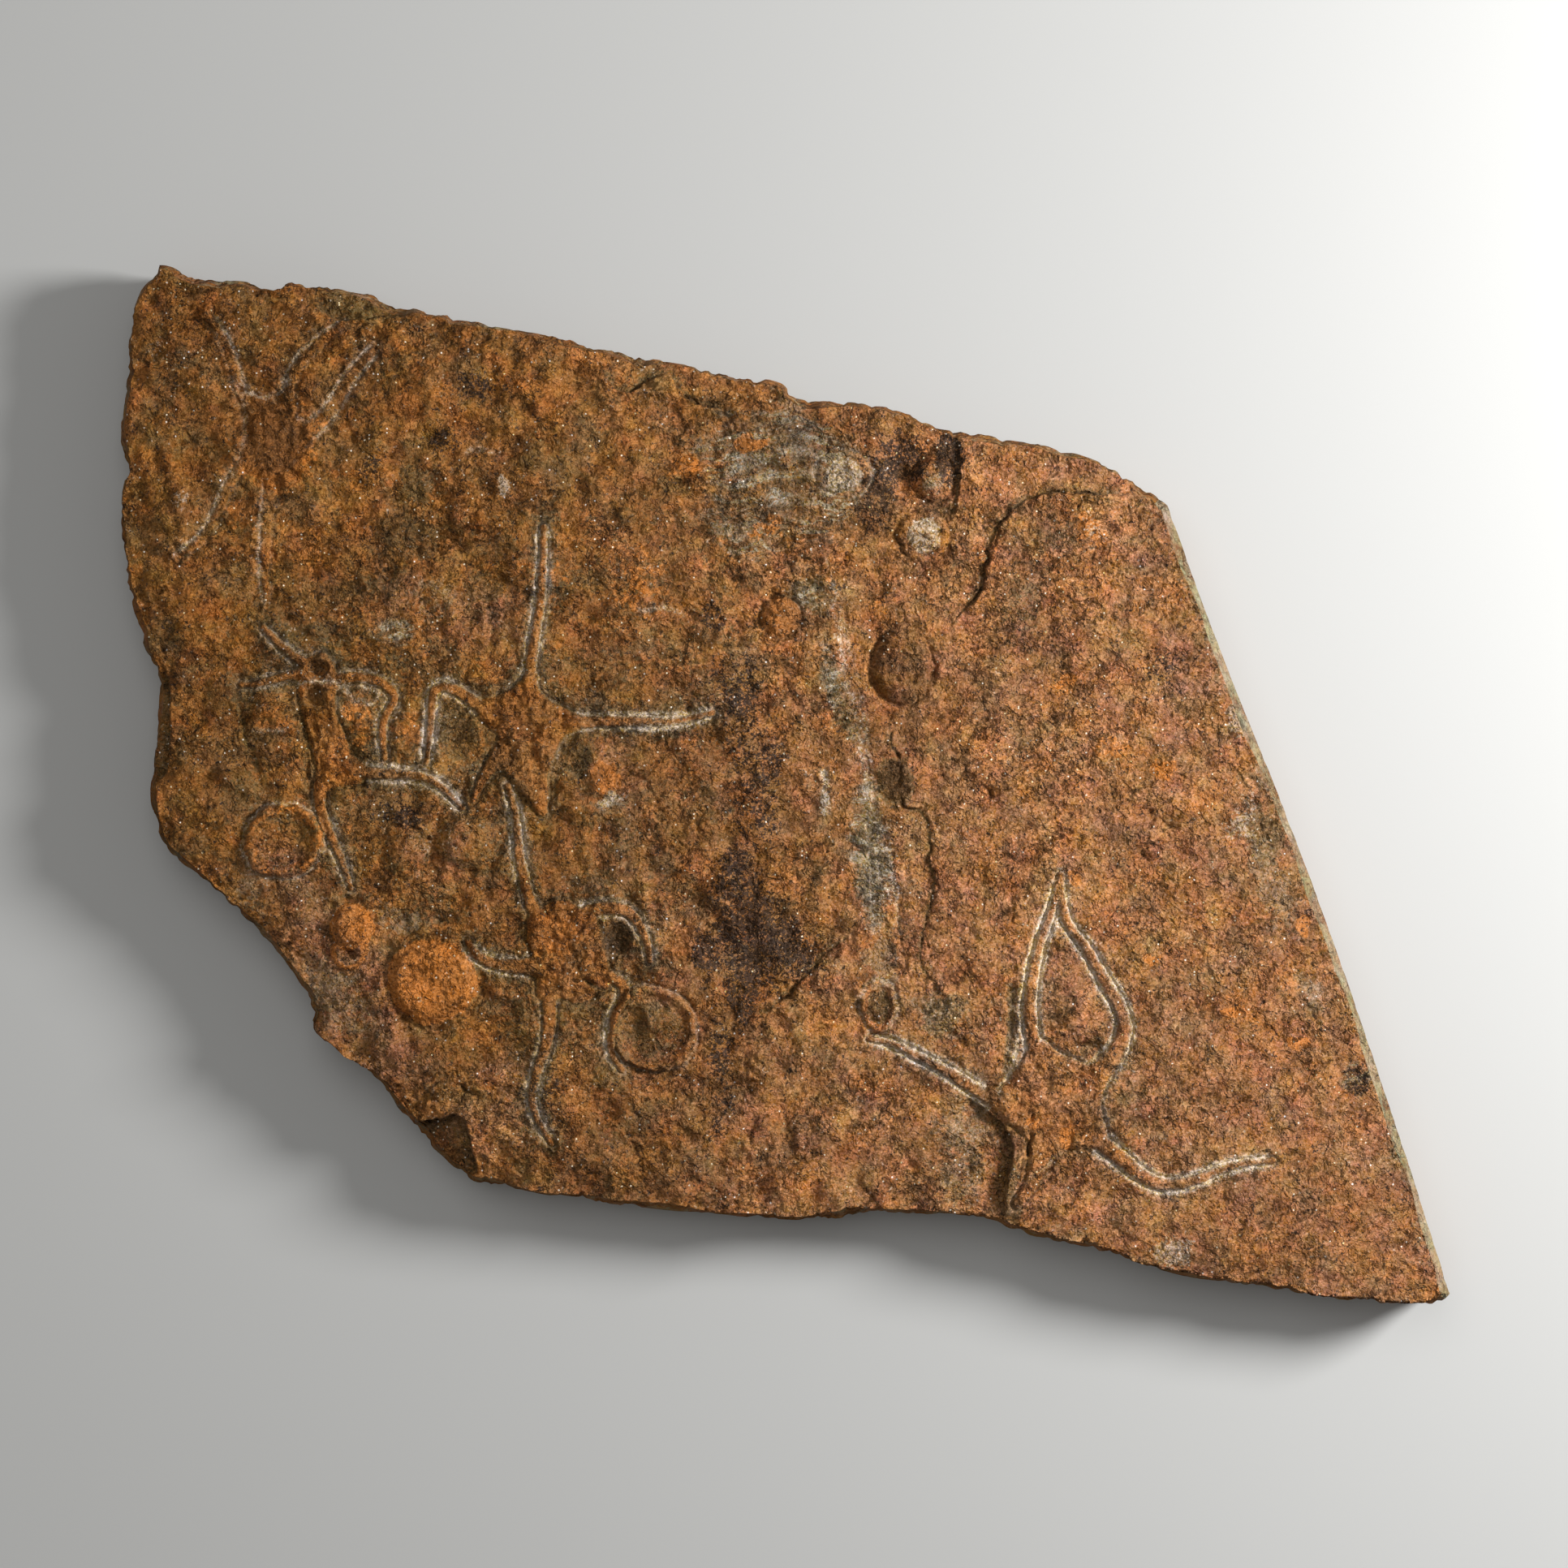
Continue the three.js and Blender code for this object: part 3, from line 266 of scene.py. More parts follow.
# A body is a closed outline. An arm has its width at base and tip, how pale the scribed line
# beside it is at each, and the side that this line is on, where it is only on one.
STARS = [
    {"name": "brittle_star_upper_left", "centre": (-114.6, 77), "rise": 0.3, "halo": 0.25,
     "body_line": 0.1, "spoke": 0.5,
     "body": closed_curve([
         (-120, 83.1), (-118.9, 86.5), (-114.9, 86), (-112.1, 87), (-108.2, 85.9),
         (-108.2, 80.8), (-105.9, 80.3), (-106.5, 74.4), (-110.4, 70.1), (-112.7, 67.9),
         (-116.1, 68.5), (-120, 70.7), (-119.7, 75.8)], BODY_STEP),
     "arms": [
         follow([(-116.6, 81.2), (-119, 84.2), (-121, 88.2), (-122.2, 92.9), (-123.8, 97.4),
                 (-125.6, 100.8), (-127.6, 103.3)],
                base=2.6, tip=1.8, line=(0.3, 0.5), hand=-1),
         follow([(-111.8, 83), (-110.2, 86.6), (-108.9, 90.7), (-106.4, 94.5), (-103.7, 97.2),
                 (-100.6, 99.9), (-97.6, 102.1)], base=2.8, tip=1.8, line=(0.3, 0.45), hand=1),
         follow([(-111.8, 75.2), (-108, 76.1), (-104.4, 79), (-101.7, 81.5), (-99.5, 84.6),
                 (-97.7, 87.8), (-95.4, 91.1), (-92.9, 94.1), (-90.5, 96.8)],
                base=3.8, tip=2, line=(0.15, 0.44)),
         follow([(-116.6, 74), (-119.7, 71.3), (-122.4, 67.3), (-124.7, 62.3), (-126.7, 58),
                 (-128.9, 54.7), (-131.4, 52.4), (-134.1, 50.6)],
                base=2.8, tip=1.5, line=(0.2, 0.6), hand=-1),
         follow([(-114.1, 71.3), (-113.8, 65.9), (-114.3, 61.4), (-114.7, 55.4), (-115.2, 47.9),
                 (-114.8, 41)], base=3.4, tip=1.4, line=(0.1, 0.42), hand=-1)]},
    {"name": "brittle_star_middle_left", "centre": (-58.2, 11.5), "rise": 1, "halo": 0.85,
     "body_line": 0.2, "spoke": 1,
     "body": closed_curve([
         (-57.5, 23.9), (-60.5, 21.5), (-64.1, 19.6), (-66.8, 19), (-67.7, 14.6), (-63.5, 10.7),
         (-64.4, 6.5), (-66.5, 2.6), (-62.6, 2.6), (-61.1, 1.4), (-58.7, -1.9), (-53.3, -7),
         (-52.1, -2.5), (-52.1, 1.7), (-50.3, 7.1), (-48.5, 10.4), (-45.5, 12.2), (-46.1, 15.4),
         (-51.5, 18.5), (-54.5, 21.2), (-54.9, 24.5)], BODY_STEP),
     "arms": [
         follow([(-56.5, 19.1), (-56.2, 25.9), (-55.1, 33.5), (-54, 40.7), (-53.5, 48.2),
                 (-53.3, 56.9)], base=2.8, tip=1.7, line=(0.5, 0.85)),
         follow([(-51.5, 13.7), (-43.6, 13.9), (-34.2, 13.9), (-24.8, 13.9), (-20.5, 14.6),
                 (-15.8, 15.8)], base=3.4, tip=1.5, line=(0.4, 1.2)),
         follow([(-61.4, 13.1), (-64.3, 14.4), (-67.1, 16.9), (-70, 19.1), (-73.1, 20.9),
                 (-75.8, 21.6), (-77.6, 20.3), (-78.1, 16.6), (-78.5, 12.2), (-78.8, 8.3),
                 (-79.4, 4.7)], base=3.4, tip=1.5, line=(0.3, 1)),
         follow([(-57.8, 4.7), (-56.5, 1.1), (-55.1, -2.5), (-53.5, -6.1)],
                base=4.6, tip=2, line=(0, 0.2)),
         follow([(-62.6, 7.4), (-65.2, 3.8), (-67.3, 0), (-68.9, -3.6)],
                base=4, tip=1.4, line=(0, 0.1))]},
    {"name": "brittle_star_left", "centre": (-102.6, 20), "rise": 1, "halo": 0.9,
     "body_line": 0.1, "spoke": 0.15,
     "body": closed_curve([
         (-107.8, 24.8), (-104.4, 28.8), (-102, 29.3), (-99.6, 26.7), (-99.1, 23.2),
         (-99.1, 15.3), (-97.2, 11), (-95.6, 6.8), (-92.7, 3.9), (-93.5, 0.4), (-98.8, -0.9),
         (-102, -1.7), (-103.1, -4.8), (-104.1, -2.7), (-104.1, 3.6), (-105.4, 9.4),
         (-107, 15.3)], BODY_STEP),
     "arms": [
         follow([(-101, 22.3), (-97.4, 23.4), (-93.8, 23.6), (-90.7, 23), (-88, 21.6),
                 (-86.4, 19.4), (-87.1, 17.1), (-88.6, 14.8), (-89.1, 11.9), (-88.6, 5.8)],
                base=2.8, tip=1.6, line=(0.35, 0.5)),
         follow([(-97.4, 4.3), (-93.8, 2.9), (-89.6, 2.3), (-84.8, 2.2), (-80.3, 1.6),
                 (-77.4, 0.4), (-75.1, -1.4), (-73.1, -3.4), (-71.3, -5.4)],
                base=3.4, tip=1.5, line=(0.5, 1)),
         follow([(-100.4, 2.9), (-102.4, -0.4), (-103, -3.4), (-102.4, -6.7), (-101.2, -9.9),
                 (-99.9, -13), (-98.5, -16), (-97.2, -19.3), (-96.1, -23)],
                base=3.4, tip=1.4, line=(0.15, 0.5)),
         follow([(-105.5, 24.1), (-108.7, 24.3), (-111.6, 23.6), (-114.5, 22.9), (-117.5, 22.1),
                 (-120.4, 22)], base=2.6, tip=1.4, line=(0.2, 0.35)),
         follow([(-105.1, 25.9), (-108, 27.9), (-110.5, 29.9), (-113, 32.2), (-115.4, 34.7)],
                base=2.8, tip=1.5, line=(0.3, 0.5))]},
    {"name": "brittle_star_lower_middle", "centre": (-51.2, -35.5), "rise": 1, "halo": 0.8,
     "body_line": 0.05, "spoke": 0.5,
     "body": closed_curve([
         (-54.8, -28.3), (-51.9, -26), (-47.7, -25.7), (-45, -27.8), (-42.7, -27),
         (-41.3, -30.4), (-40.2, -33.3), (-39.2, -38.4), (-38.7, -41.8), (-39.2, -45.8),
         (-44.5, -43.4), (-41.3, -46.3), (-45.5, -49), (-50, -47.6), (-54.5, -47.6),
         (-55.1, -43.4), (-56.2, -41.8), (-55.6, -39.7), (-57.2, -34.4),
         (-56.7, -29.6)], BODY_STEP),
     "arms": [
         follow([(-53.6, -30.4), (-56, -26.8), (-57.1, -23.2), (-58.7, -16), (-59.4, -8.3),
                 (-60.1, -4.3), (-61.2, -0.4)], base=3.2, tip=1.6, line=(0.1, 1)),
         follow([(-47.9, -32.2), (-45, -29.3), (-41.6, -27.9), (-38.5, -27.5), (-35.6, -27.9),
                 (-33.3, -29.5), (-31.7, -32), (-30.4, -35.3), (-29.7, -39.2)],
                base=4.2, tip=1.5, line=(1.3, 0.5)),
         follow([(-44.3, -40.3), (-40.7, -42.1), (-37.4, -43.4), (-35.3, -45.4), (-35.8, -47.9),
                 (-37.4, -50.8), (-38.3, -54), (-38.5, -57.2), (-37.8, -60.5), (-35.8, -63.4)],
                base=3.2, tip=1.5, line=(0.2, 0.8)),
         follow([(-56, -40.3), (-59.4, -40.5), (-62.6, -40.1), (-65.9, -39.2), (-68.4, -37.6),
                 (-70, -35.3)], base=4, tip=2, line=(0.3, 0.9)),
         follow([(-51.5, -43), (-52, -47.2), (-52, -51.1), (-52.2, -55.1), (-53.1, -59.2),
                 (-54.4, -62.8), (-55.4, -66.4), (-55.8, -70.2), (-54.9, -73.6), (-53.3, -76.7),
                 (-51.5, -79.6)], base=3.8, tip=1.4, line=(0.2, 0.7))]},
    {"name": "brittle_star_lower_right", "centre": (62.5, -71), "rise": 1.15, "halo": 0.4,
     "body_line": 0.65, "spoke": 0.6,
     "body": closed_curve([
         (48.4, -67.1), (52.8, -61.2), (55.5, -57.5), (58.1, -57.1), (60.8, -59.3), (65, -61.2),
         (67.9, -62.3), (70.5, -60), (74, -57.1), (76.4, -55.5), (75, -61.2), (71.5, -67.1),
         (70.4, -71.6), (71.5, -76.5), (70.5, -80.3), (67, -81), (62.8, -81.3), (60.1, -82.7),
         (57.5, -86.5), (54.5, -87.5), (53.9, -79.2), (48.3, -74.4), (45.6, -70.9),
         (44.5, -67.6)], BODY_STEP),
     "arms": [
         follow([(53.8, -73.1), (49.3, -71.3), (45.2, -69.5), (40.7, -66.6), (36.7, -64.1),
                 (33.1, -62.1), (28.6, -59.8), (24.1, -57.6), (19.1, -56.5)],
                base=3.8, tip=1.4, line=(0.7, 1.49)),
         follow([(57.4, -62.3), (55.4, -57.6), (54.7, -53.3), (54.5, -49), (54.9, -44.5),
                 (55.6, -40.3), (56.7, -35.8), (58.1, -31.7), (59.7, -27), (60.7, -22.3)],
                base=3.8, tip=1.6, line=(1.26, 1.76)),
         follow([(70, -64.1), (72.4, -61), (74.5, -57.8), (75.4, -54.4), (75.1, -51.1),
                 (73.6, -47.9), (71.6, -44.5), (69.7, -41), (67.5, -37.1), (65, -33.7),
                 (62.7, -30.2), (61.7, -25.6), (61.4, -20.2)],
                base=4, tip=1.5, line=(1.26, 1.49)),
         follow([(67.3, -77.8), (71.3, -80.3), (75.2, -83.5), (79, -86.6), (83.2, -88.7),
                 (87.5, -88.7), (92.2, -87.5), (96.8, -85.5), (102.4, -84.1), (108.4, -83.5)],
                base=4.2, tip=1.4, line=(1.4, 1.22)),
         follow([(59.8, -77.2), (58, -81.4), (56.5, -85.3), (54.4, -89.3), (51.8, -93.2)],
                base=4.6, tip=2.4, line=(0, 0.1))]},
]

# A ring has its share of the radius, its rise and its width. A moat is the depth around the
# disc, and open is how much shallower it is on the right.
DISCS = [
    oval(-77.9, -43.9, 10, 9.8, 1.5, 0.25, kind="rust", moat=0.4),
    oval(-110.9, -12.6, 8.8, 8.6, 0, 0.3, kind="grey", ring=(0.84, 1.4, 1.3), line=0.32),
    oval(-96, -31.6, 4.7, 5.3, 1.4, 0.5, kind="rust", moat=0.2),
    oval(-96.5, -37.4, 4.2, 3.9, 0.5, 0.5, kind="rust", ring=(0.75, 0.6, 1), moat=0.1),
    oval(-29, -54.4, 9.6, 9.6, 0, 0.7, kind="dull", ring=(0.9, 1.1, 1.1), line=0.15),
    oval(-0.7, 37.1, 4.5, 4.5, 0.9, 0.6, kind="gold"),
    oval(13.3, 68.9, 6.4, 5.2, 0.2, 0.9, kind="pale", ring=(0.85, 0.2, 0.8), line=0.25,
         moat=0.25),
    oval(31, 55.1, 5.6, 5.8, 0.3, 0.8, kind="pale", ring=(0.88, 0.4, 0.9), moat=0.4),
    oval(33.1, 67.7, 4.7, 5.4, 1.8, 0.6, kind=""),
    oval(26.3, 26.3, 7, 8.6, 1.3, 0.35, kind="dark", moat=0.75, open=0.35),
    oval(21.1, -49.5, 3.8, 5.6, -0.4, 0.5, kind="hollow", ring=(0.9, 0.6, 0.6), line=0.3),
    oval(-70.4, -12.4, 7.4, 7, 1.6, 0.5, kind="mound", moat=0.25),
    oval(-84, -15.5, 6, 6, 1.5, 0.6, kind="mound", moat=0.25),
]
# How much of each field a kind of disc has
DISC_TINTS = {
    "": {},
    "rust": {"rust": 1.2},
    "gold": {"rust": 0.9, "hollow": 0.85},
    "pale": {"pale": 0.7, "bare": 1.1},
    "grey": {"olive": 0.4, "rust": 0.5},
    "dull": {"olive": 0.6, "rust": 0.3},
    "dark": {"hollow": 0.8, "olive": 0.2},
    "hollow": {"olive": 0.75},
    "mound": {"olive": 0.45},
}
LUMPS = [
    oval(-39.8, -0.7, 5.4, 4.7, 0.9, 0.8), oval(64.6, -49.3, 6.1, 7.2, 0.9, 0.8),
    oval(-63.2, 65.9, 2.9, 2.9, 1.1, 0.9), oval(-55.1, 72.2, 3.2, 3.2, 0.8, 0.9),
    oval(-137, 73.4, 2.5, 4, 0.9, 0.8), oval(-133.9, 63.7, 2.2, 2.9, 0.7, 0.8),
    oval(-113, 15.5, 5.6, 3.6, 0.9, 0.4), oval(-112, 3.8, 6.1, 6.8, 0.6, 0.4),
    oval(67.3, 56, 5, 5, 0.5, 0.8), oval(-101.5, -55, 3.8, 3.4, 1.8, 0.9),
]
PITS = [
    oval(-103.3, 25.9, 3.1, 2.1, -1.5, 0.5), oval(-104, 19.4, 2.7, 2.6, -1.5, 0.5),
    oval(-37.1, -34.6, 3.6, 4.8, -1.6, 0.5), oval(68.2, -58.5, 3.6, 2.2, -1.8, 0.7),
    oval(-72.5, 11, 4.3, 8.1, -0.9, 0.5), oval(-33.5, -53.5, 4, 5.5, -1.2, 0.6),
    oval(-58.7, -3.4, 2.5, 3.2, -0.7, 0.7), oval(-82, -7.6, 3.4, 2.6, -1, 0.6),
    oval(-96.1, -37.6, 1.5, 1.4, -1.1, 0.6), oval(26.6, 67.7, 1.9, 4.7, -1.3, 0.7),
    oval(-138.8, 72.2, 1.6, 3.2, -0.9, 0.8), oval(-117.5, -34.5, 3, 4, -1.4, 0.7),
]

# Steps in the stone that are both a ledge and a crack
TOP_RIGHT_STEP = [
    (78.8, 64.1), (70.4, 64.1), (62.8, 64.6), (55.3, 63.4), (51.1, 61), (48.6, 58), (46.6, 54),
    (45, 48.4), (44.3, 43.9), (42.1, 40.3), (38.7, 37.3), (36, 32.8)]
LONG_STEP = [
    (24.8, 17.6), (24.1, 13.5), (23.9, 9.5), (25.9, 5.6), (26.6, -4.5), (30.4, -5.6),
    (32.4, -9), (32.6, -17.6), (33.7, -22.7), (32.4, -27.7), (30.6, -38.9), (33.1, -43.9),
    (36.4, -47.5)]
STAINED_STEP = [
    (16.2, -32.8), (9.2, -37.8), (6.7, -40.9), (1.6, -46.1), (-6.5, -52.9)]
TOP_STEP = [
    (-11, 80.3), (-14.8, 83), (-21.8, 85.3), (-25.6, 90.7), (-31.3, 88.7), (-34.7, 86.8),
    (-38.3, 88.4), (-41.6, 94.7)]
# The ground on the right hand of a ledge is lower by drop, and back level over reach
LEDGES = [
    follow([(40.3, -68.8), (45.2, -72.4), (49, -75.8), (50.9, -80.5), (49.9, -86.6),
            (49.1, -92.5), (49.1, -98.3)], drop=2.2, reach=15),
    follow(TOP_RIGHT_STEP, drop=0.9, reach=12), follow(LONG_STEP, drop=0.5, reach=10),
    follow(STAINED_STEP, drop=0.6, reach=9), follow(TOP_STEP, drop=1.3, reach=14),
    follow([(38.2, 78.8), (39.2, 73.1), (39.1, 65.9), (37.8, 58.7)], drop=0.9, reach=8),
    follow([(-137.5, 26), (-136.5, 20), (-136.2, 12), (-136.8, 4), (-139.5, -1)],
           drop=3.2, reach=24),
    follow([(-84, -75.4), (-76.3, -74.2), (-73, -73.2), (-71, -74.6), (-69.5, -79.4),
            (-67.5, -88)], drop=3.6, reach=40),
    follow([(-82, 103.9), (-92.5, 103.3), (-99, 102.7), (-102.7, 105.5), (-104, 109.5)],
           drop=3, reach=40),
]
# Trenches and cracks have their depth and half width
TRENCHES = [
    follow([(-120.8, 17.5), (-119.4, 10), (-116.8, 3.5)], depth=0.7, width=0.9),
    follow([(-106.9, 12), (-105.6, 5), (-105.2, -3)], depth=0.6, width=0.5),
    follow([(-48, 8.6), (-50.4, 3), (-51, -2.6)], depth=0.6, width=1.0),
    follow([(50.2, -44.8), (50.4, -51.1), (50, -57.4), (49.3, -64.6)], depth=0.9, width=1.2),
]
CRACKS = [
    follow(TOP_RIGHT_STEP, depth=0.7, width=0.35), follow(LONG_STEP, depth=0.35, width=0.3),
    follow(STAINED_STEP, depth=0.85, width=0.5), follow(TOP_STEP, depth=0.6, width=0.35),
    follow([(68.2, 65), (66.4, 63.2), (64.8, 61)], depth=0.4, width=0.3),
    follow([(64.6, 72.2), (61.9, 70.9), (59.8, 70)], depth=0.4, width=0.3),
    follow([(-6.8, -55.6), (-7.9, -63.7), (-7.4, -74.5), (-8.3, -85.3)], depth=0.3, width=0.3),
    follow([(55.6, -73.5), (54.8, -78), (54.2, -83)], depth=1.5, width=0.5),
    follow([(53.6, -51), (54.1, -57), (55.4, -63.5), (57.4, -69)], depth=0.45, width=0.35),
    follow([(1.6, 6.5), (4.5, 4.5), (7.2, 3), (9, 0.5)], depth=0.4, width=0.3),
    follow([(54, -21.5), (53.6, -25.5), (53.3, -30)], depth=0.35, width=0.3),
    follow([(76, -1.5), (80, -5), (83.5, -8), (88.5, -10.5)], depth=0.3, width=0.3),
    follow([(-26, -9.5), (-21.5, -9), (-18, -8.5)], depth=0.3, width=0.3),
    follow([(-30.5, 1), (-28.8, -3), (-27.5, -6.5)], depth=0.3, width=0.3),
    follow([(-81, -70), (-76, -66.5), (-70, -68), (-67, -71)], depth=0.4, width=0.3),
    follow([(24.7, -28), (26, -36), (28.5, -44)], depth=0.3, width=0.3),
    follow([(1.5, 89), (2.5, 85), (1.2, 82)], depth=0.4, width=0.35),
    follow([(39.7, 1.4), (44.4, -1.2), (47.7, -2.9)], depth=0.4, width=0.3),
    follow([(-20, 71), (-15, 69.5), (-12.5, 66), (-11, 61)], depth=0.3, width=0.3),
]
# Pale lines scribed beside fossils and along scratches
MARKS = [
    follow([(-122.4, 90.1), (-120.7, 88.1), (-118.4, 86.8), (-115.1, 86), (-112.3, 86.8),
            (-110, 89.5)], strength=0.4),
    follow([(-121.3, 88.7), (-119.8, 83.4), (-119.6, 77.8), (-120.7, 72.7), (-122.1, 68.8)],
           strength=0.22),
    follow([(-97, 21.8), (-94.1, 22.1), (-90.5, 20.9), (-89.8, 19.1), (-91.6, 17.8),
            (-94.7, 18.5), (-97, 20.9)], strength=0.45),
    follow([(-117.5, 11.9), (-110.9, 11.9)], strength=0.5),
    follow([(-70.3, 73.3), (-68.6, 74.2), (-66.4, 74.4), (-64.7, 73.6)], strength=0.6),
    follow([(12.1, 36.3), (13.7, 24.4), (15.6, 13.8), (18.3, 5.9), (20.9, -7.3), (22.9, -17.8)],
           strength=0.32),
    follow([(15.2, 20), (17, 8), (18.4, -6), (18.8, -20), (20, -33)], strength=0.35),
    follow([(17.6, 14), (19.4, 1), (20.2, -12), (21.8, -26)], strength=0.3),
    follow([(-107.8, 22.5), (-103, 22.7), (-98.8, 22.5)], strength=0.6),
    follow([(9.7, 49.7), (13.5, 34), (16.9, 20.9), (19.6, -6.1)], strength=0.3),
    follow([(21.4, -2.5), (23.5, -18), (25.9, -33.1)], strength=0.3),
    follow([(52.1, -56), (51.4, -60), (49.8, -64.6), (47.8, -67.7)], strength=0.8),
    follow([(59.9, -83.2), (57, -85.4), (53.5, -88.6)], strength=0.3),
    follow([(9, 2.7), (9.2, -6.3)], strength=1.1),
    follow([(-32.4, 38.5), (-26, 39), (-22, 37.5)], strength=0.5),
]
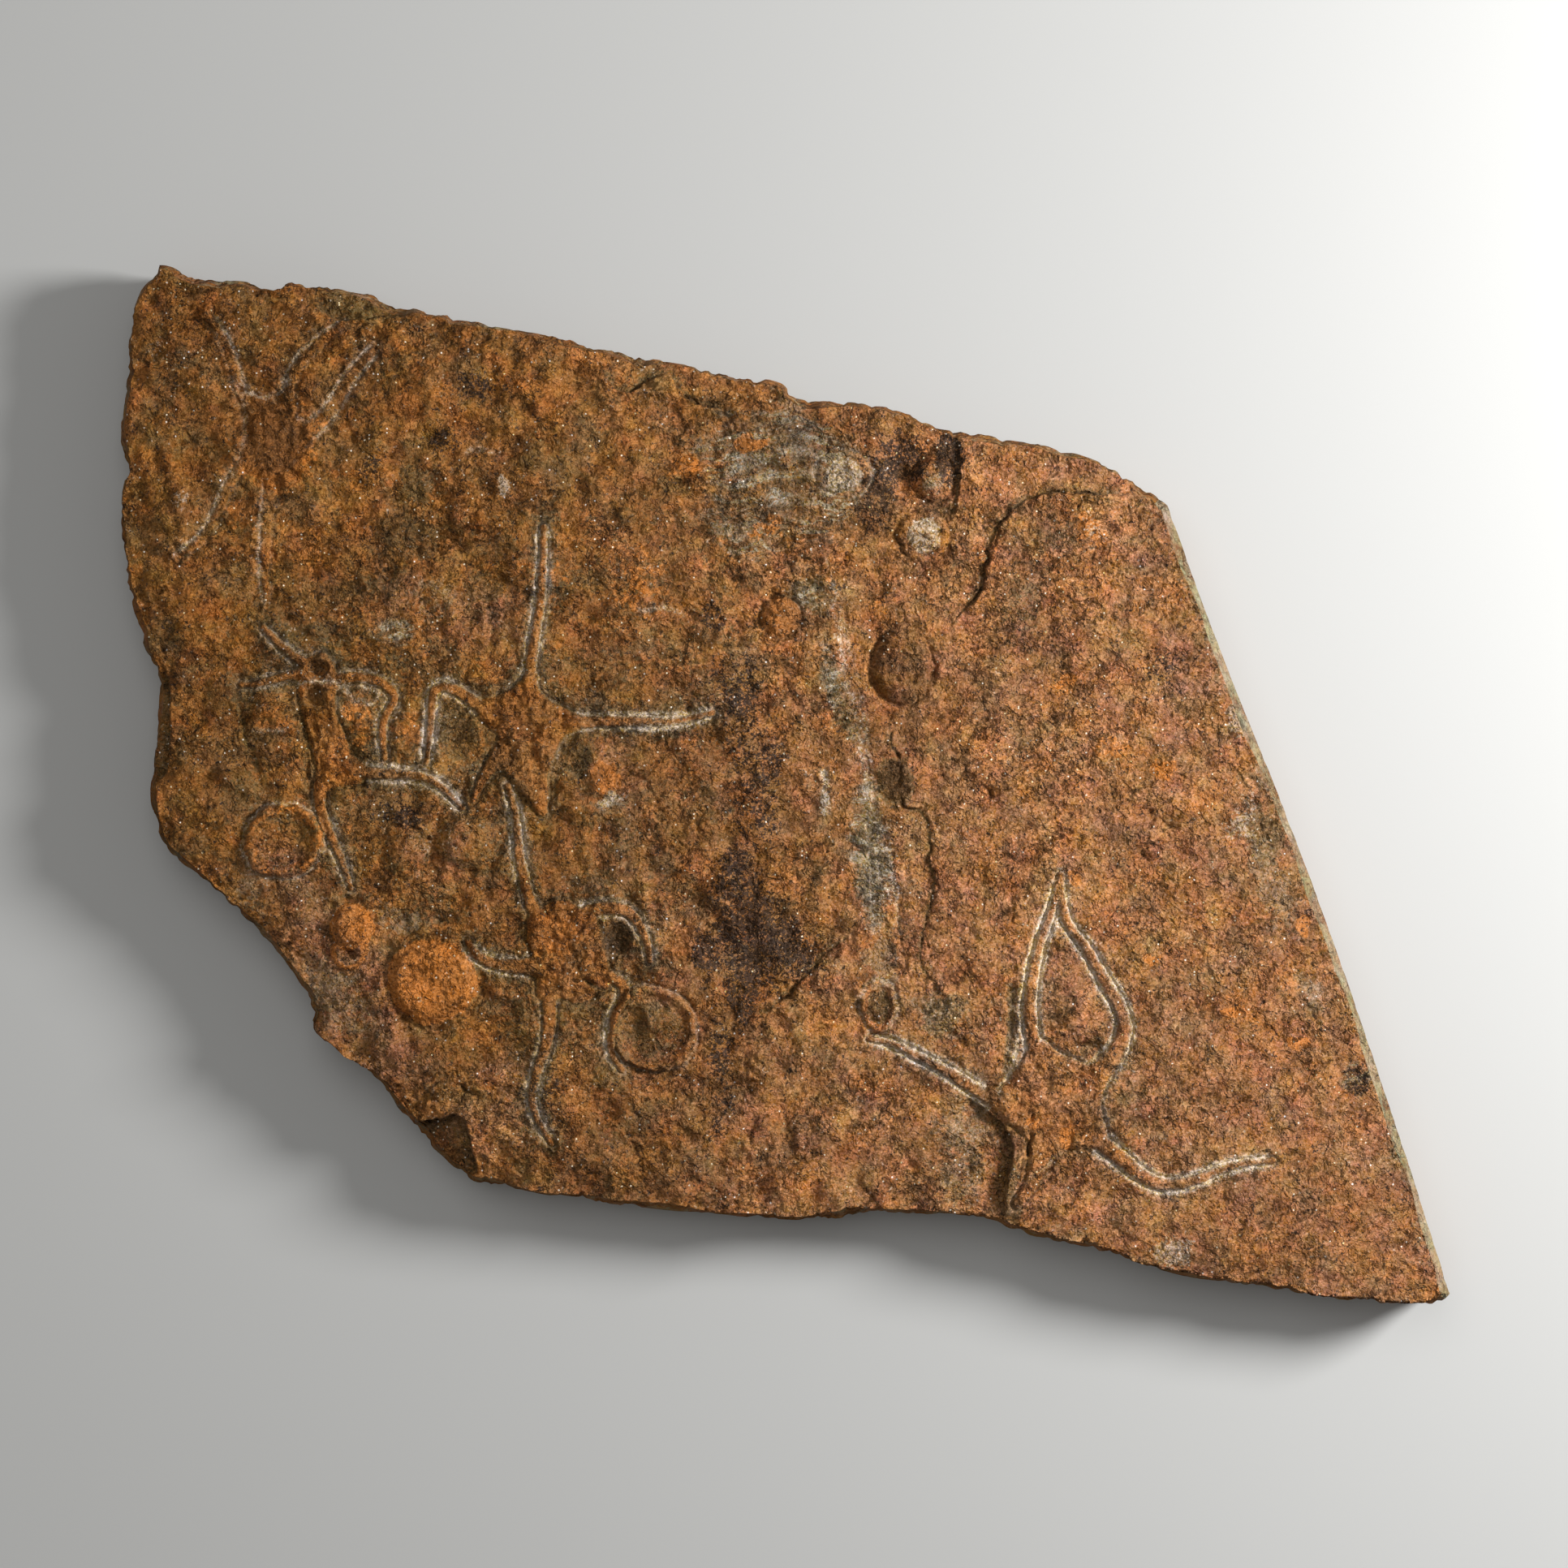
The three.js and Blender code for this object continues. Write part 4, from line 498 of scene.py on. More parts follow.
# Coloured places by field: centre, radii, turn in degrees and strength
PATCHES = {
    "stain": [
        (-7, -33, 10, 16, 20, 0.95), (1, -36, 9, 7, -35, 0.9), (-9, -47, 5, 8, 0, 0.85),
        (-11, -21, 6, 9, -20, 0.8), (-6, -6, 7, 13, 8, 0.5), (-12.5, 22, 6, 7, 0, 0.5),
        (-8, 8, 7, 13, 0, 0.45), (-14, -60, 4, 9, 5, 0.6), (-13, -73, 3, 8, 0, 0.45),
        (36.8, 73, 3.6, 9, 0, 0.95), (26, 72, 7, 8, 0, 0.85), (-68, 88, 6, 3, -10, 0.6),
        (-16, 37.5, 4, 4, 0, 0.6), (-75.8, 75.8, 4, 3.5, 40, 0.6), (-53, -68, 8, 6, -50, 0.45),
        (-85, -6.5, 6, 5, 0, 0.55), (12, 44, 2, 3, 0, 0.6), (84, 25, 6, 5, 0, 0.4),
        (21, 67, 5, 7, 0, 0.85), (20, 64, 5, 11, 0, 0.7), (-17, -38, 5, 7, 0, 0.85),
        (-4, 4, 5, 9, 0, 0.6), (127, -65.5, 4.8, 3.8, 30, 0.75), (116.5, -29, 2.2, 1.7, 0, 0.9),
        (-9, 20, 5, 9, 0, 0.85), (-83.4, -7.8, 4, 3, 0, 0.9), (-92, 70.6, 2.4, 4, 0, 0.6)],
    "scrape": [
        (-2, 73, 22, 12, -8, 1), (-6, 60, 14, 12, 0, 0.95), (6, 62, 14, 9, 0, 0.8),
        (39.4, -81.7, 9, 19, 0, 0.3), (-86, 34, 5, 5, 0, 0.6), (127, -65.5, 5, 4, 0, 1.2),
        (19.3, -15, 5.5, 20, 5, 1), (12.5, 18, 3.4, 14, 13, 0.8), (6, 42, 5, 4, 0, 0.5),
        (33.5, 68, 3.5, 3.5, 0, 0.5), (-38.3, -3.8, 4.8, 2.4, 10, 0.5)],
    "bare": [
        (0, 72, 16, 9, -8, 0.6), (4.3, 41.6, 8, 5, 0, 0.7), (39.4, -81.7, 9, 19, 0, 0.6),
        (11.5, 20, 3, 15, 13, 0.8), (-98, -47, 8, 15, 35, 0.7), (-118, -24, 6, 9, 30, 0.5),
        (-86, -30, 6, 4, 0, 0.9), (108, -22, 5, 16, 22, 0.8), (117, -46, 3, 11, 20, 0.6),
        (35, -51, 8, 7, 0, 0.8), (19.3, -18, 4.6, 20, 4, 0.95), (21.5, -40, 5, 9, 0, 0.8),
        (51, -53, 2.4, 14, 0, 0.8), (-78, 41, 6, 9, 0, 0.6), (2, 86, 6, 5, 0, 1)],
    "olive": [
        (11.5, 20, 3.4, 15, 13, 0.6), (19.3, -16, 4.5, 16, 4, 0.8), (24.6, 0.5, 6, 6, 0, 1.2),
        (7, 42, 7, 5, -20, 0.9), (26, -1, 3.6, 6, 0, 1.2), (107, -12, 6, 8, 0, 0.9),
        (-81.5, 66, 4, 7, 20, 0.9), (35, -51, 7, 6, 0, 0.8), (-105, -48, 9, 7, -40, 0.55),
        (-80, -28, 13, 7, 0, 0.5), (-97, -20, 7, 5, 0, 0.5), (-118, 0, 5, 9, 0, 0.5),
        (-88, 4, 16, 6, 0, 0.5), (-63, -12, 9, 12, 0, 0.5), (-102, 33, 8, 6, 0, 0.55),
        (-113, 27, 7, 4, 0, 0.6), (-42.5, -21.5, 8, 5, 0, 0.65), (-58, -52, 5, 8, 10, 0.65),
        (-90, 45, 8, 5, 30, 0.5), (-66, -14, 6, 12, 0, 0.55), (52, 40, 9, 12, 30, 0.5),
        (75, 32, 6, 8, -20, 0.45), (62, 55, 12, 5, 10, 0.5), (-67.7, 43.4, 7, 5, 0, 0.8),
        (-72.5, 11, 5.5, 9.5, 0, 1.2), (-47, 6, 5, 7, 20, 0.8),
        (-103.1, 25.9, 3.4, 2.6, 0, 1.3), (-103.5, 19.4, 3.1, 3, 0, 1.3),
        (-37.1, -34.6, 4.6, 6, 0, 1.4), (-92, 22, 3.5, 2.5, -20, 0.7),
        (68.2, -58.5, 4.5, 3, 30, 0.9), (-58, -3, 4, 4, 0, 0.9), (-38, -64, 9, 5, 30, 0.7),
        (105.1, -9.7, 7, 7.5, 0, 0.6), (-93, 106.5, 14, 5, -4, 1.1), (50, -90, 3, 12, 5, 1),
        (-84, -35, 12, 6, 30, 0.5)],
    "tone": [
        (-97, -44, 17, 28, 38, 1), (-77, -14, 10, 9, 0, 0.9), (-112, -20, 10, 10, 0, 0.8),
        (-66, -76, 15, 9, 0, 0.9), (-88, -60, 10, 14, 40, 1), (-106, -33, 9, 8, 0, 1),
        (-68, 37, 13, 9, 0, 0.8), (-86, 42, 8, 7, 0, 0.8), (-61, -67, 8, 10, 0, 1),
        (-38, 4, 8, 10, 0, 0.9)],
    # hollow patches lay the Shade colour: mostly painted shadow beside lumps and ledges, in pits
    # and inside the oval's left rim, and in a few places darker stone, as over the upper left
    # star
    "hollow": [
        (20, 60, 8, 14, 0, 1.15), (-114, 77, 12, 15, 0, 1.55), (-119, 61, 7, 8, 0, 1.15),
        (-20, 55, 8, 12, 0, 0.85), (24.6, 0.5, 5.5, 5.5, 0, 1.5), (45.5, -67, 5, 7, 30, 1.3),
        (26.6, 69.5, 2.6, 4, 0, 1.6), (21.6, 27, 2.4, 7, 0, 1.2),
        (-36.8, -34.4, 4.6, 5.6, 0, 1.4), (-89, -22, 5.5, 4, 0, 1.2),
        (-66.4, 68.8, 2.2, 3.6, 0, 1.2), (65.2, -50.5, 3.4, 4, 0, 0.9),
        (-138, 71.5, 2.5, 3.5, 0, 1.1)],
    "rust": [
        (-113, 75, 12, 14, 0, 0.95), (-119, 60, 7, 7, 0, 0.6), (-94, 13, 5, 8, 0, 0.55),
        (-53, 46, 6, 8, 0, 0.5), (-33, 44, 9, 12, 30, 0.5), (-4, 58, 6, 5, 0, 0.55),
        (-39.6, 1.4, 5.2, 4.2, 0, 0.85), (-114.5, 14.5, 6, 4, 0, 0.5),
        (-82.5, 12.5, 3.2, 6.5, 0, 0.6), (68, 56.3, 4.6, 6, 0, 0.8),
        (-51, -33.5, 7, 7.5, 0, 0.75), (64.6, -20.5, 2.6, 2.4, 0, 1.2),
        (81.4, -39.1, 2.8, 2.2, 0, 1.2), (98.8, -50.8, 2.2, 2, 0, 1.2),
        (114.1, -57.1, 3, 2, 0, 1.1), (115.4, -31.3, 2.8, 2.4, 0, 1.2),
        (-7, 75.8, 6, 1.6, 12, 1), (54.5, -75.5, 2.4, 2.8, 0, 1.2),
        (63, -78.5, 3.2, 2.6, 0, 1.2), (84, 3, 4, 3.4, 0, 0.8), (62, 22, 4, 3, 0, 0.7),
        (72, 8, 6, 4, 20, 0.6), (-22, 71, 4, 5, 0, 0.6)],
    "pale": [
        (-38.4, -3.4, 4.4, 1.9, 5, 0.9), (-78, -13, 6, 5, 0, 0.25), (68, 57, 4, 5, 0, 0.45),
        (103, -6, 3, 5, 0, 0.5), (-134.1, 62.7, 2.2, 2.6, 0, 0.5),
        (-140.3, 97.5, 1.4, 4, -30, 0.45), (100.6, 14.6, 4, 3.5, 0, 0.9),
        (86.2, -104.2, 5, 4.5, 0, 0.8), (-62.8, 65.9, 2.2, 3.4, 0, 0.8),
        (101, -9.5, 4.5, 5, 0, 0.7), (12, 35, 2, 12, 12, 0.45), (18, 7, 1.6, 16, 6, 0.45),
        (23.5, -18, 1.5, 16, 6, 0.45), (9, -3.5, 0.8, 3.4, 0, 0.8)],
}


# ------------------------------------------------------------------ settings
def rock(red, green, blue):
    """Linear colour of a screen colour given as three numbers up to 255."""
    return tuple(((c / 255 + 0.055) / 1.055) ** 2.4 for c in (red, green, blue)) + (1.0,)


def length(name, text, value):
    """A length property whose default is given in millimetres."""
    return FloatProperty(name=name, description=text, default=value * MM, unit="LENGTH",
                         precision=5)


def colour(name, text, *value):
    """A colour property whose default is given as a screen colour."""
    return FloatVectorProperty(name=name, description=text, default=rock(*value), size=4,
                               subtype="COLOR", min=0, max=1)


class FossilSizes(PropertyGroup):
    """Sizes of the plate's relief."""
    face: length("Face height", "General height of the fossil face above the back", 18)
    arm: length("Arm rise", "Crest of a full arm above the ground beside it", 0.62)
    body: length("Body rise", "Webs of a star's body above the ground beside it", 0.55)
    body_edge: length("Body edge", "Width of the rounded edge of a body", 1.2)
    groove: length("Groove depth", "Depth of the groove scribed around a star", 0.5)
    groove_off: length("Groove offset", "Middle of that groove outside the arm's edge", 0.15)
    groove_width: length("Groove width", "Half width of that groove", 0.34)
    roll: length("Edge roll", "How far the face rolls down at a broken edge", 1.3)
    roll_reach: length("Roll reach", "How far in from the edge the roll starts", 13)
    grain: length("Ground grain", "Height of the uneven crust on the ground", 0.6)
    flake: length("Flake height", "Height of the thin flakes of the bedding", 0.34)
    pock: length("Pock depth", "Depth of the pocks in the crust", 0.55)
    lump: length("Lump height", "Height of the low lumps scattered on the ground", 0.5)
    fine_step: length("Fine grid", "Grid spacing on stars, discs and ledges", 0.26)
    seat: length("Seat", "How far an inlaid relief is let into the plate", 1.0)


class FossilColours(PropertyGroup):
    """Colours of the stone."""
    crust_dark: colour("Crust, dark", "Dark grains of the rusty crust", 92, 60, 24)
    crust: colour("Crust", "Rusty crust", 136, 87, 36)
    crust_light: colour("Crust, light", "Light grains of the rusty crust", 162, 105, 46)
    sand_dark: colour("Sandy stone, dark", "Dark grains of the sandy stone", 120, 82, 50)
    sand: colour("Sandy stone", "Sandy stone", 153, 102, 62)
    sand_light: colour("Sandy stone, light", "Light grains of the sandy stone", 173, 121, 77)
    rust: colour("Rust", "Bright orange crust on discs and spots", 192, 116, 47)
    stain: colour("Stain", "Purple black stain", 40, 29, 23)
    bare: colour("Bare stone", "Grey brown of scraped stone", 136, 116, 86)
    scrape: colour("Scratch", "Blue grey powder in fine scratches", 150, 138, 112)
    olive: colour("Fresh stone", "Grey green of fresh stone in the lows", 92, 80, 48)
    slate: colour("Slate", "Grey stone under the scratches", 88, 80, 60)
    # Shade is painted shade: the colour laid where shadow falls in lows, pits, cracks, grooves,
    # moats and at the feet of ledges; a few patches use it to darken the stone itself
    shade: colour("Shade", "Brown black painted_shade in the lows and cracks", 57, 36, 10)
    pale: colour("Bruised stone", "Pale bruised stone in scribed lines", 196, 174, 144)
    # Glint is a painted highlight: the sparkle of mica and sand grains laid into the colour
    glint: colour("Glint", "Bright faces of the sand grains", 236, 222, 196)
    fossil: colour("Fossil", "Orange brown of arms and bodies", 162, 99, 42)


class FossilStage(PropertyGroup):
    """Lights, floor and camera."""
    lens: FloatProperty(name="Lens", description="Focal length in millimetres", default=100)
    sensor: FloatProperty(name="Sensor", description="Sensor width in millimetres", default=36)
    field: length("Field", "Width of the stone's plane that the camera takes in", 347.76)
    key: FloatProperty(name="Key light", description="Power of the key light", default=8.6,
                       unit="POWER")
    fill: FloatProperty(name="Fill light", description="Power of the fill light", default=3,
                        unit="POWER")
    sky: FloatProperty(name="Sky", description="Brightness of the even light all round",
                       default=0.25)


def settings(context):
    """The sizes, colours and stage that the scene holds."""
    scene = context.scene
    return scene.fossil_sizes, scene.fossil_colours, scene.fossil_stage


# ------------------------------------------------------------------ relief of the face
BROKEN_LINE = np.vstack([curve_through(edge, EDGE_STEP)
                         for edge in (TOP_EDGE, LEFT_EDGE, BOTTOM_EDGE)])
SAWN_LINE = curve_through(SAWN_EDGE, EDGE_STEP)
OUTLINE = np.vstack([BROKEN_LINE, SAWN_LINE])
# Of these fields, hollow is the amount of painted shade: how much of the Shade colour a point
# gets where shadow falls
FIELDS = ("gap", "line", "fossil", "stain", "bare", "scrape", "rust", "pale", "olive", "hollow",
          "tone")


def bell(distance, width):
    """Bell curve: e to the power of minus the square of distance over width."""
    return np.exp(-(distance / width) ** 2)


def ragged(x, y, size, amount, seed):
    """The points pushed about by noise, which gives a plain shape an irregular edge."""
    return (x + amount * fractal(x, y, size, 2, seed),
            y + amount * fractal(x, y, size, 2, seed + 9))


def at_least(fields, name, value):
    """Raises a field to a value where it is below it."""
    fields[name] = np.maximum(fields[name], value)


def star_points(star):
    """All points of a star's arms and body."""
    return np.vstack([arm["path"] for arm in star["arms"]] + [star["body"]])


def body_gap(star, x, y):
    """Distance outside the body of a star, negative inside."""
    distance = nearest(star["body"], x, y, FAR)[0]
    return np.where(is_inside(star["body"], x, y), -distance, distance)


def arm_place(arm, x, y):
    """Distance to the middle of an arm, half its width there, share of the way along it, and
    side."""
    distance, along, side = nearest(arm["path"], x, y, FAR)
    return distance, 0.5 * (arm["base"] + (arm["tip"] - arm["base"]) * along), along, side


def star_fields(star, x, y, sizes):
    """Rise, signed distance outside, pale line strength, share of fossil and groove depth for
    one star.

    Arms and body melt into one outline by a smooth least distance. An arm is half round
    across, and the body a low plateau with a ridge from its centre along each arm. The
    scribed groove outside both is a bell curve of the distance."""
    nearest_gap = body_gap(star, x, y)
    gaps = [nearest_gap]
    body = step(-nearest_gap, 0.1, sizes.body_edge / MM)
    rise = sizes.body / MM * body * (0.75 + 0.5 * fractal(x, y, 5, 2, 74))
    fossil = body * 0.75
    ridges, (cx, cy) = np.zeros(x.shape), star["centre"]
    # lit keeps a body's pale line to its upper right, the side that faces the key light; there
    # the pale line is partly painted highlight
    lit = step(x - cx + y - cy, -5, 4)
    line = np.where(nearest_gap < 2.5, star["body_line"] * lit, 0.0)
    for arm in star["arms"]:
        distance, half, along, side = arm_place(arm, x, y)
        crest = sizes.arm / MM * (1 - 0.4 * along) * (1 - 0.5 * step(along, 0.85, 1))
        inside = np.clip(1 - (distance / (ARM_SHARE * half)) ** 2, 0, 1)
        rise = np.maximum(rise, crest * inside**0.4)
        fossil = np.maximum(fossil, step(inside, 0, 0.5))
        gap = distance - half
        base_line, tip_line = arm["line"]
        pale = base_line + (tip_line - base_line) * step(along, 0.05, 0.6)
        fainter_side = np.where(side * arm.get("hand", 0) < 0, 0.2, 1)
        pale = pale * (1 - 0.75 * step(along, 0.94, 1)) * fainter_side
        line = np.where(gap < nearest_gap, pale, line)
        nearest_gap = np.minimum(nearest_gap, gap)
        gaps.append(gap)
        spoke = np.array([[cx, cy], arm["path"][0], arm["path"][min(3, len(arm["path"]) - 1)]])
        across = nearest(spoke, x, y, FAR)[0] / (ARM_SHARE * 0.5 * arm["base"])
        ridges = np.maximum(ridges, np.clip(1 - across**2, 0, 1) ** 0.6)
    outside = smooth_least(gaps, 0.5)
    rise = np.maximum(rise, star["spoke"] * sizes.arm / MM * ridges)
    rise += 0.25 * body * fractal(x, y, 3.2, 3, 71, 0.6)
    groove = sizes.groove / MM * bell(outside - sizes.groove_off / MM, sizes.groove_width / MM)
    return star["rise"] * (rise - groove), outside, line, fossil, groove


def cut_ledges(z, fields, x, y):
    """Ledges and trenches: a ledge drops steeply at its path and comes back level by an
    exponential of the distance, and a trench is a bell curve of the distance."""
    for ledge in LEDGES:
        distance, along, side = nearest(ledge["path"], x, y, ledge["reach"] * 4)
        ends = step(along, 0, 0.12) * (1 - step(along, 0.88, 1))
        lower = step(np.where(side < 0, distance, -distance), -0.15, 0.35)
        z -= ledge["drop"] * ends * lower * np.exp(-distance / ledge["reach"])
        # Painted shadow at the foot of a ledge: the lower ground beside the step gets the Shade
        # colour and the grey green of fresh stone
        foot = np.where(side < 0, np.exp(-distance / (0.7 * ledge["drop"] + 0.4)), 0)
        fields["hollow"] += 0.75 * ends * foot
        at_least(fields, "olive", 0.9 * ends * np.sqrt(foot))
    for trench in TRENCHES:
        dip = bell(nearest(trench["path"], x, y, 8)[0], trench["width"])
        z -= trench["depth"] * dip
        # The trench gets the grey green of fresh stone and painted shade
        at_least(fields, "olive", 0.8 * dip)
        fields["hollow"] += 0.5 * dip


def cut_cracks(z, fields, x, y):
    """Cracks: bell curves of the distance to paths pushed about by noise, faded at their ends
    and closed up here and there by noise."""
    jx, jy = ragged(*ragged(x, y, 4, 0.8, 29), 1.3, 0.25, 33)
    open_places = step(noise(x, y, 4.5, 19), -0.55, 0.15)
    for crack in CRACKS:
        distance, along, _ = nearest(crack["path"], jx, jy, 4)
        ends = step(along, 0, 0.06) * (1 - step(along, 0.9, 1))
        cut = ends * bell(distance, crack["width"]) * open_places
        z -= crack["depth"] * cut
        # Painted shade along the crack
        fields["hollow"] += min(1.05, 1.8 * crack["depth"]) * cut


def add_discs(z, fields, x, y, wx, wy):
    """Discs, lumps and pits: flat tops with a smooth slope to the rim of an ellipse, rings and
    moats that are bell curves of the distance to one, and the colours of the discs. It gives
    back how far each point is on a disc, from 0 to 1."""
    on_disc = np.zeros(x.shape)
    fields["gap"] = np.full(x.shape, FAR)
    wobble = 1 + 0.1 * fractal(x, y, 15, 2, 61)
    for disc in DISCS + LUMPS:
        radius = wobble * ellipse_radius(disc, wx, wy)
        z += disc["rise"] * (1 - step(radius, 1 - disc["slope"], 1))
        if "ring" in disc:
            share, rise, width = disc["ring"]
            z += rise * bell((radius / share - 1) * disc["rx"] * share, width)
        if "kind" not in disc:
            continue
        inside, core = 1 - step(radius, 0.9, 1.05), 1 - step(radius, 0.55, 0.8)
        on_disc = np.maximum(on_disc, inside)
        open_side = 1 - disc.get("open", 0) * step(x - disc["x"], -3, 3)
        moat = disc.get("moat", 0.55) * open_side * bell((radius - 1.05) * disc["rx"], 0.55)
        z -= moat
        # Painted shade in the moat around a disc
        fields["hollow"] += 1.6 * moat
        for field, amount in DISC_TINTS[disc["kind"]].items():
            share = inside
            if "ring" in disc:
                share = inside - core if field == "rust" else core
            if field == "hollow":
                fields["hollow"] += amount * share
            else:
                at_least(fields, field, amount * share)
        if "line" in disc:
            outside = (radius - 1) * disc["rx"]
            fields["line"] = np.where(outside < fields["gap"], disc["line"], fields["line"])
            fields["gap"] = np.minimum(fields["gap"], outside)
    for pit in PITS:
        radius = ellipse_radius(pit, wx, wy)
        z += pit["rise"] * (1 - step(radius, 1 - pit["slope"], 1))
        # Painted shade in the pit
        fields["hollow"] += 0.5 * (1 - step(radius, 0.6, 1.1))
    return on_disc


def add_stars(z, fields, x, y, sizes):
    """The stars, and the fresh stone that fades away around them."""
    sx, sy = ragged(x, y, 1.7, 0.16, 23)
    for star in STARS:
        low, high = bounding(star_points(star), FAR)
        near = np.flatnonzero((x > low[0]) & (x < high[0]) & (y > low[1]) & (y < high[1]))
        if near.size == 0:
            continue
        here = {name: fields[name][near] for name in ("gap", "line", "fossil", "hollow",
                                                      "olive")}
        rise, gap, line, fossil, groove = star_fields(star, sx[near], sy[near], sizes)
        z[near] += rise
        closer, clear = gap < here["gap"], min(star["rise"], 1)
        here["gap"] = np.where(closer, gap, here["gap"])
        here["line"] = np.where(closer, line, here["line"])
        at_least(here, "fossil", clear * fossil)
        # Painted shade in the scribed groove around the star
        here["hollow"] += 1.05 * clear * groove
        at_least(here, "olive", 1.15 * star["halo"] * np.exp(-np.clip(gap, 0, None) / 3) * (
            gap > -0.3))
        for name, value in here.items():
            fields[name][near] = value


def scribe_marks(z, fields, x, y):
    """Marks: shallow bell curves of the distance, pale where no fossil's line is closer."""
    for mark in MARKS:
        distance = nearest(mark["path"], x, y, 3)[0]
        closer = (distance + 0.3 < np.abs(fields["gap"])) | (distance < 0.7)
        fields["line"] = np.where(closer, mark["strength"], fields["line"])
        fields["gap"] = np.where(closer, distance + 0.3, fields["gap"])
        z -= MARK_DEPTH * bell(distance, MARK_WIDTH)


def add_crust(z, fields, x, y, on_disc, sizes):
    """Crust: fractal noise, the same cut into thin flat flakes, and scattered pocks and
    swellings. It calms down to the right and on fossils."""
    right = step(x + 0.3 * y, -30, 60)
    calm = np.clip(np.maximum(0.2 * fields["fossil"], 0.6 * on_disc), 0, 1)
    amount = (1 - 0.4 * right - 0.2 * step(x, 70, 120)) * (1 - calm)
    crust = fractal(x, y, 6.5, 3, 31, 0.7)
    steps = 2.4 * fractal(x + 0.8 * crust, y, 11, 3, 41, 0.55)
    flakes = np.floor(steps) + step(steps - np.floor(steps), 0.4, 0.6)
    off, number = scattered(*ragged(x, y, 2, 0.4, 83), 5.2, 87)
    pocks = (number < 0.3) * (1 - step(off, 0.08, 0.16 + 0.3 * number))
    off, number = scattered(*ragged(x, y, 3, 0.6, 93), 11, 97)
    swell = (number < 0.5) * (1 - step(off, 0.03, 0.14 + 0.36 * number))
    z += amount * (sizes.grain / MM * crust + sizes.flake / MM * flakes
                   - sizes.pock / MM * pocks + sizes.lump / MM * swell)
    # Painted shade in the lows of the crust and in its pocks
    fields["hollow"] += 0.25 - 0.4 * amount * crust + 0.3 * amount * pocks


def colour_places(fields, x, y):
    """Sandy tone to the right, bare stone along the sawn edge, and the patches: ellipses with
    a soft rim, pushed about by noise."""
    fields["tone"] = step(x - 0.2 * y + 22 * fractal(x, y, 34, 3, 91), -95, 75)
    rubbed = 2.4 + 1.5 * noise(x, y, 9, 57)
    at_least(fields, "bare", 1.1 * np.exp(-nearest(SAWN_LINE, x, y, 9)[0] / rubbed))
    px, py = ragged(x, y, 6, 1.6, 53)
    for kind, patches in PATCHES.items():
        for cx, cy, rx, ry, turn, strength in patches:
            c, s = math.cos(math.radians(turn)), math.sin(math.radians(turn))
            radius = np.hypot(((px - cx) * c + (py - cy) * s) / rx,
                              ((py - cy) * c - (px - cx) * s) / ry)
            at_least(fields, kind, strength * (1 - step(radius, 0.35, 1.15)))


def relief(x, y, sizes):
    """Height of the face in millimetres and the fields that colour it.

    Bedding waves and the roll at the broken edges carry the ledges, cracks, discs, stars,
    marks and crust. A soft ceiling, the log of a sum of exponentials, tops them."""
    fields = {name: np.zeros(x.shape) for name in FIELDS}
    waves = (0.5 * np.sin(x / 31 + 0.6) * np.cos(y / 27 - 0.4)
             + 0.3 * np.sin(x / 13 + 1.9) * np.sin(y / 11 + 0.3))
    reach = sizes.roll_reach / MM
    roll = 1 - step(nearest(BROKEN_LINE, x, y, reach)[0], 0, reach)
    z = sizes.face / MM + waves - sizes.roll / MM * roll**2
    wx, wy = ragged(x, y, 2.4, 0.45, 11)
    cut_ledges(z, fields, wx, wy)
    cut_cracks(z, fields, x, y)
    on_disc = add_discs(z, fields, x, y, wx, wy)
    add_stars(z, fields, x, y, sizes)
    scribe_marks(z, fields, wx, wy)
    add_crust(z, fields, x, y, on_disc, sizes)
    colour_places(fields, x, y)
    top = sizes.face / MM + CEILING
    hard = 5
    return -np.logaddexp(-hard * z, -hard * top) / hard, fields


# ------------------------------------------------------------------ ground of the inlays
def star_gap(star, x, y):
    """Distance outside the ground around a star."""
    gaps = [body_gap(star, x, y)]
    for arm in star["arms"]:
        distance, half, _, _ = arm_place(arm, x, y)
        gaps.append(distance - half)
    return np.min(gaps, axis=0) - STAR_CLEAR


def disc_gap(disc, x, y):
    """Distance outside the ground around a disc."""
    return (ellipse_radius(disc, x, y) - 1) * disc["rx"] - DISC_CLEAR


def line_gap(line, x, y):
    """Distance outside the ground beside a ledge, crack or trench."""
    return nearest(line["path"], x, y, FAR)[0] - LINE_CLEAR


def inlay_gap(gap_of, shapes, x, y):
    """Distance outside the ground that inlaid shapes take up, clear of the plate's edge."""
    gap = np.min([gap_of(shape, x, y) for shape in shapes], axis=0)
    return np.maximum(gap, EDGE_CLEAR - nearest(OUTLINE, x, y, FAR)[0])


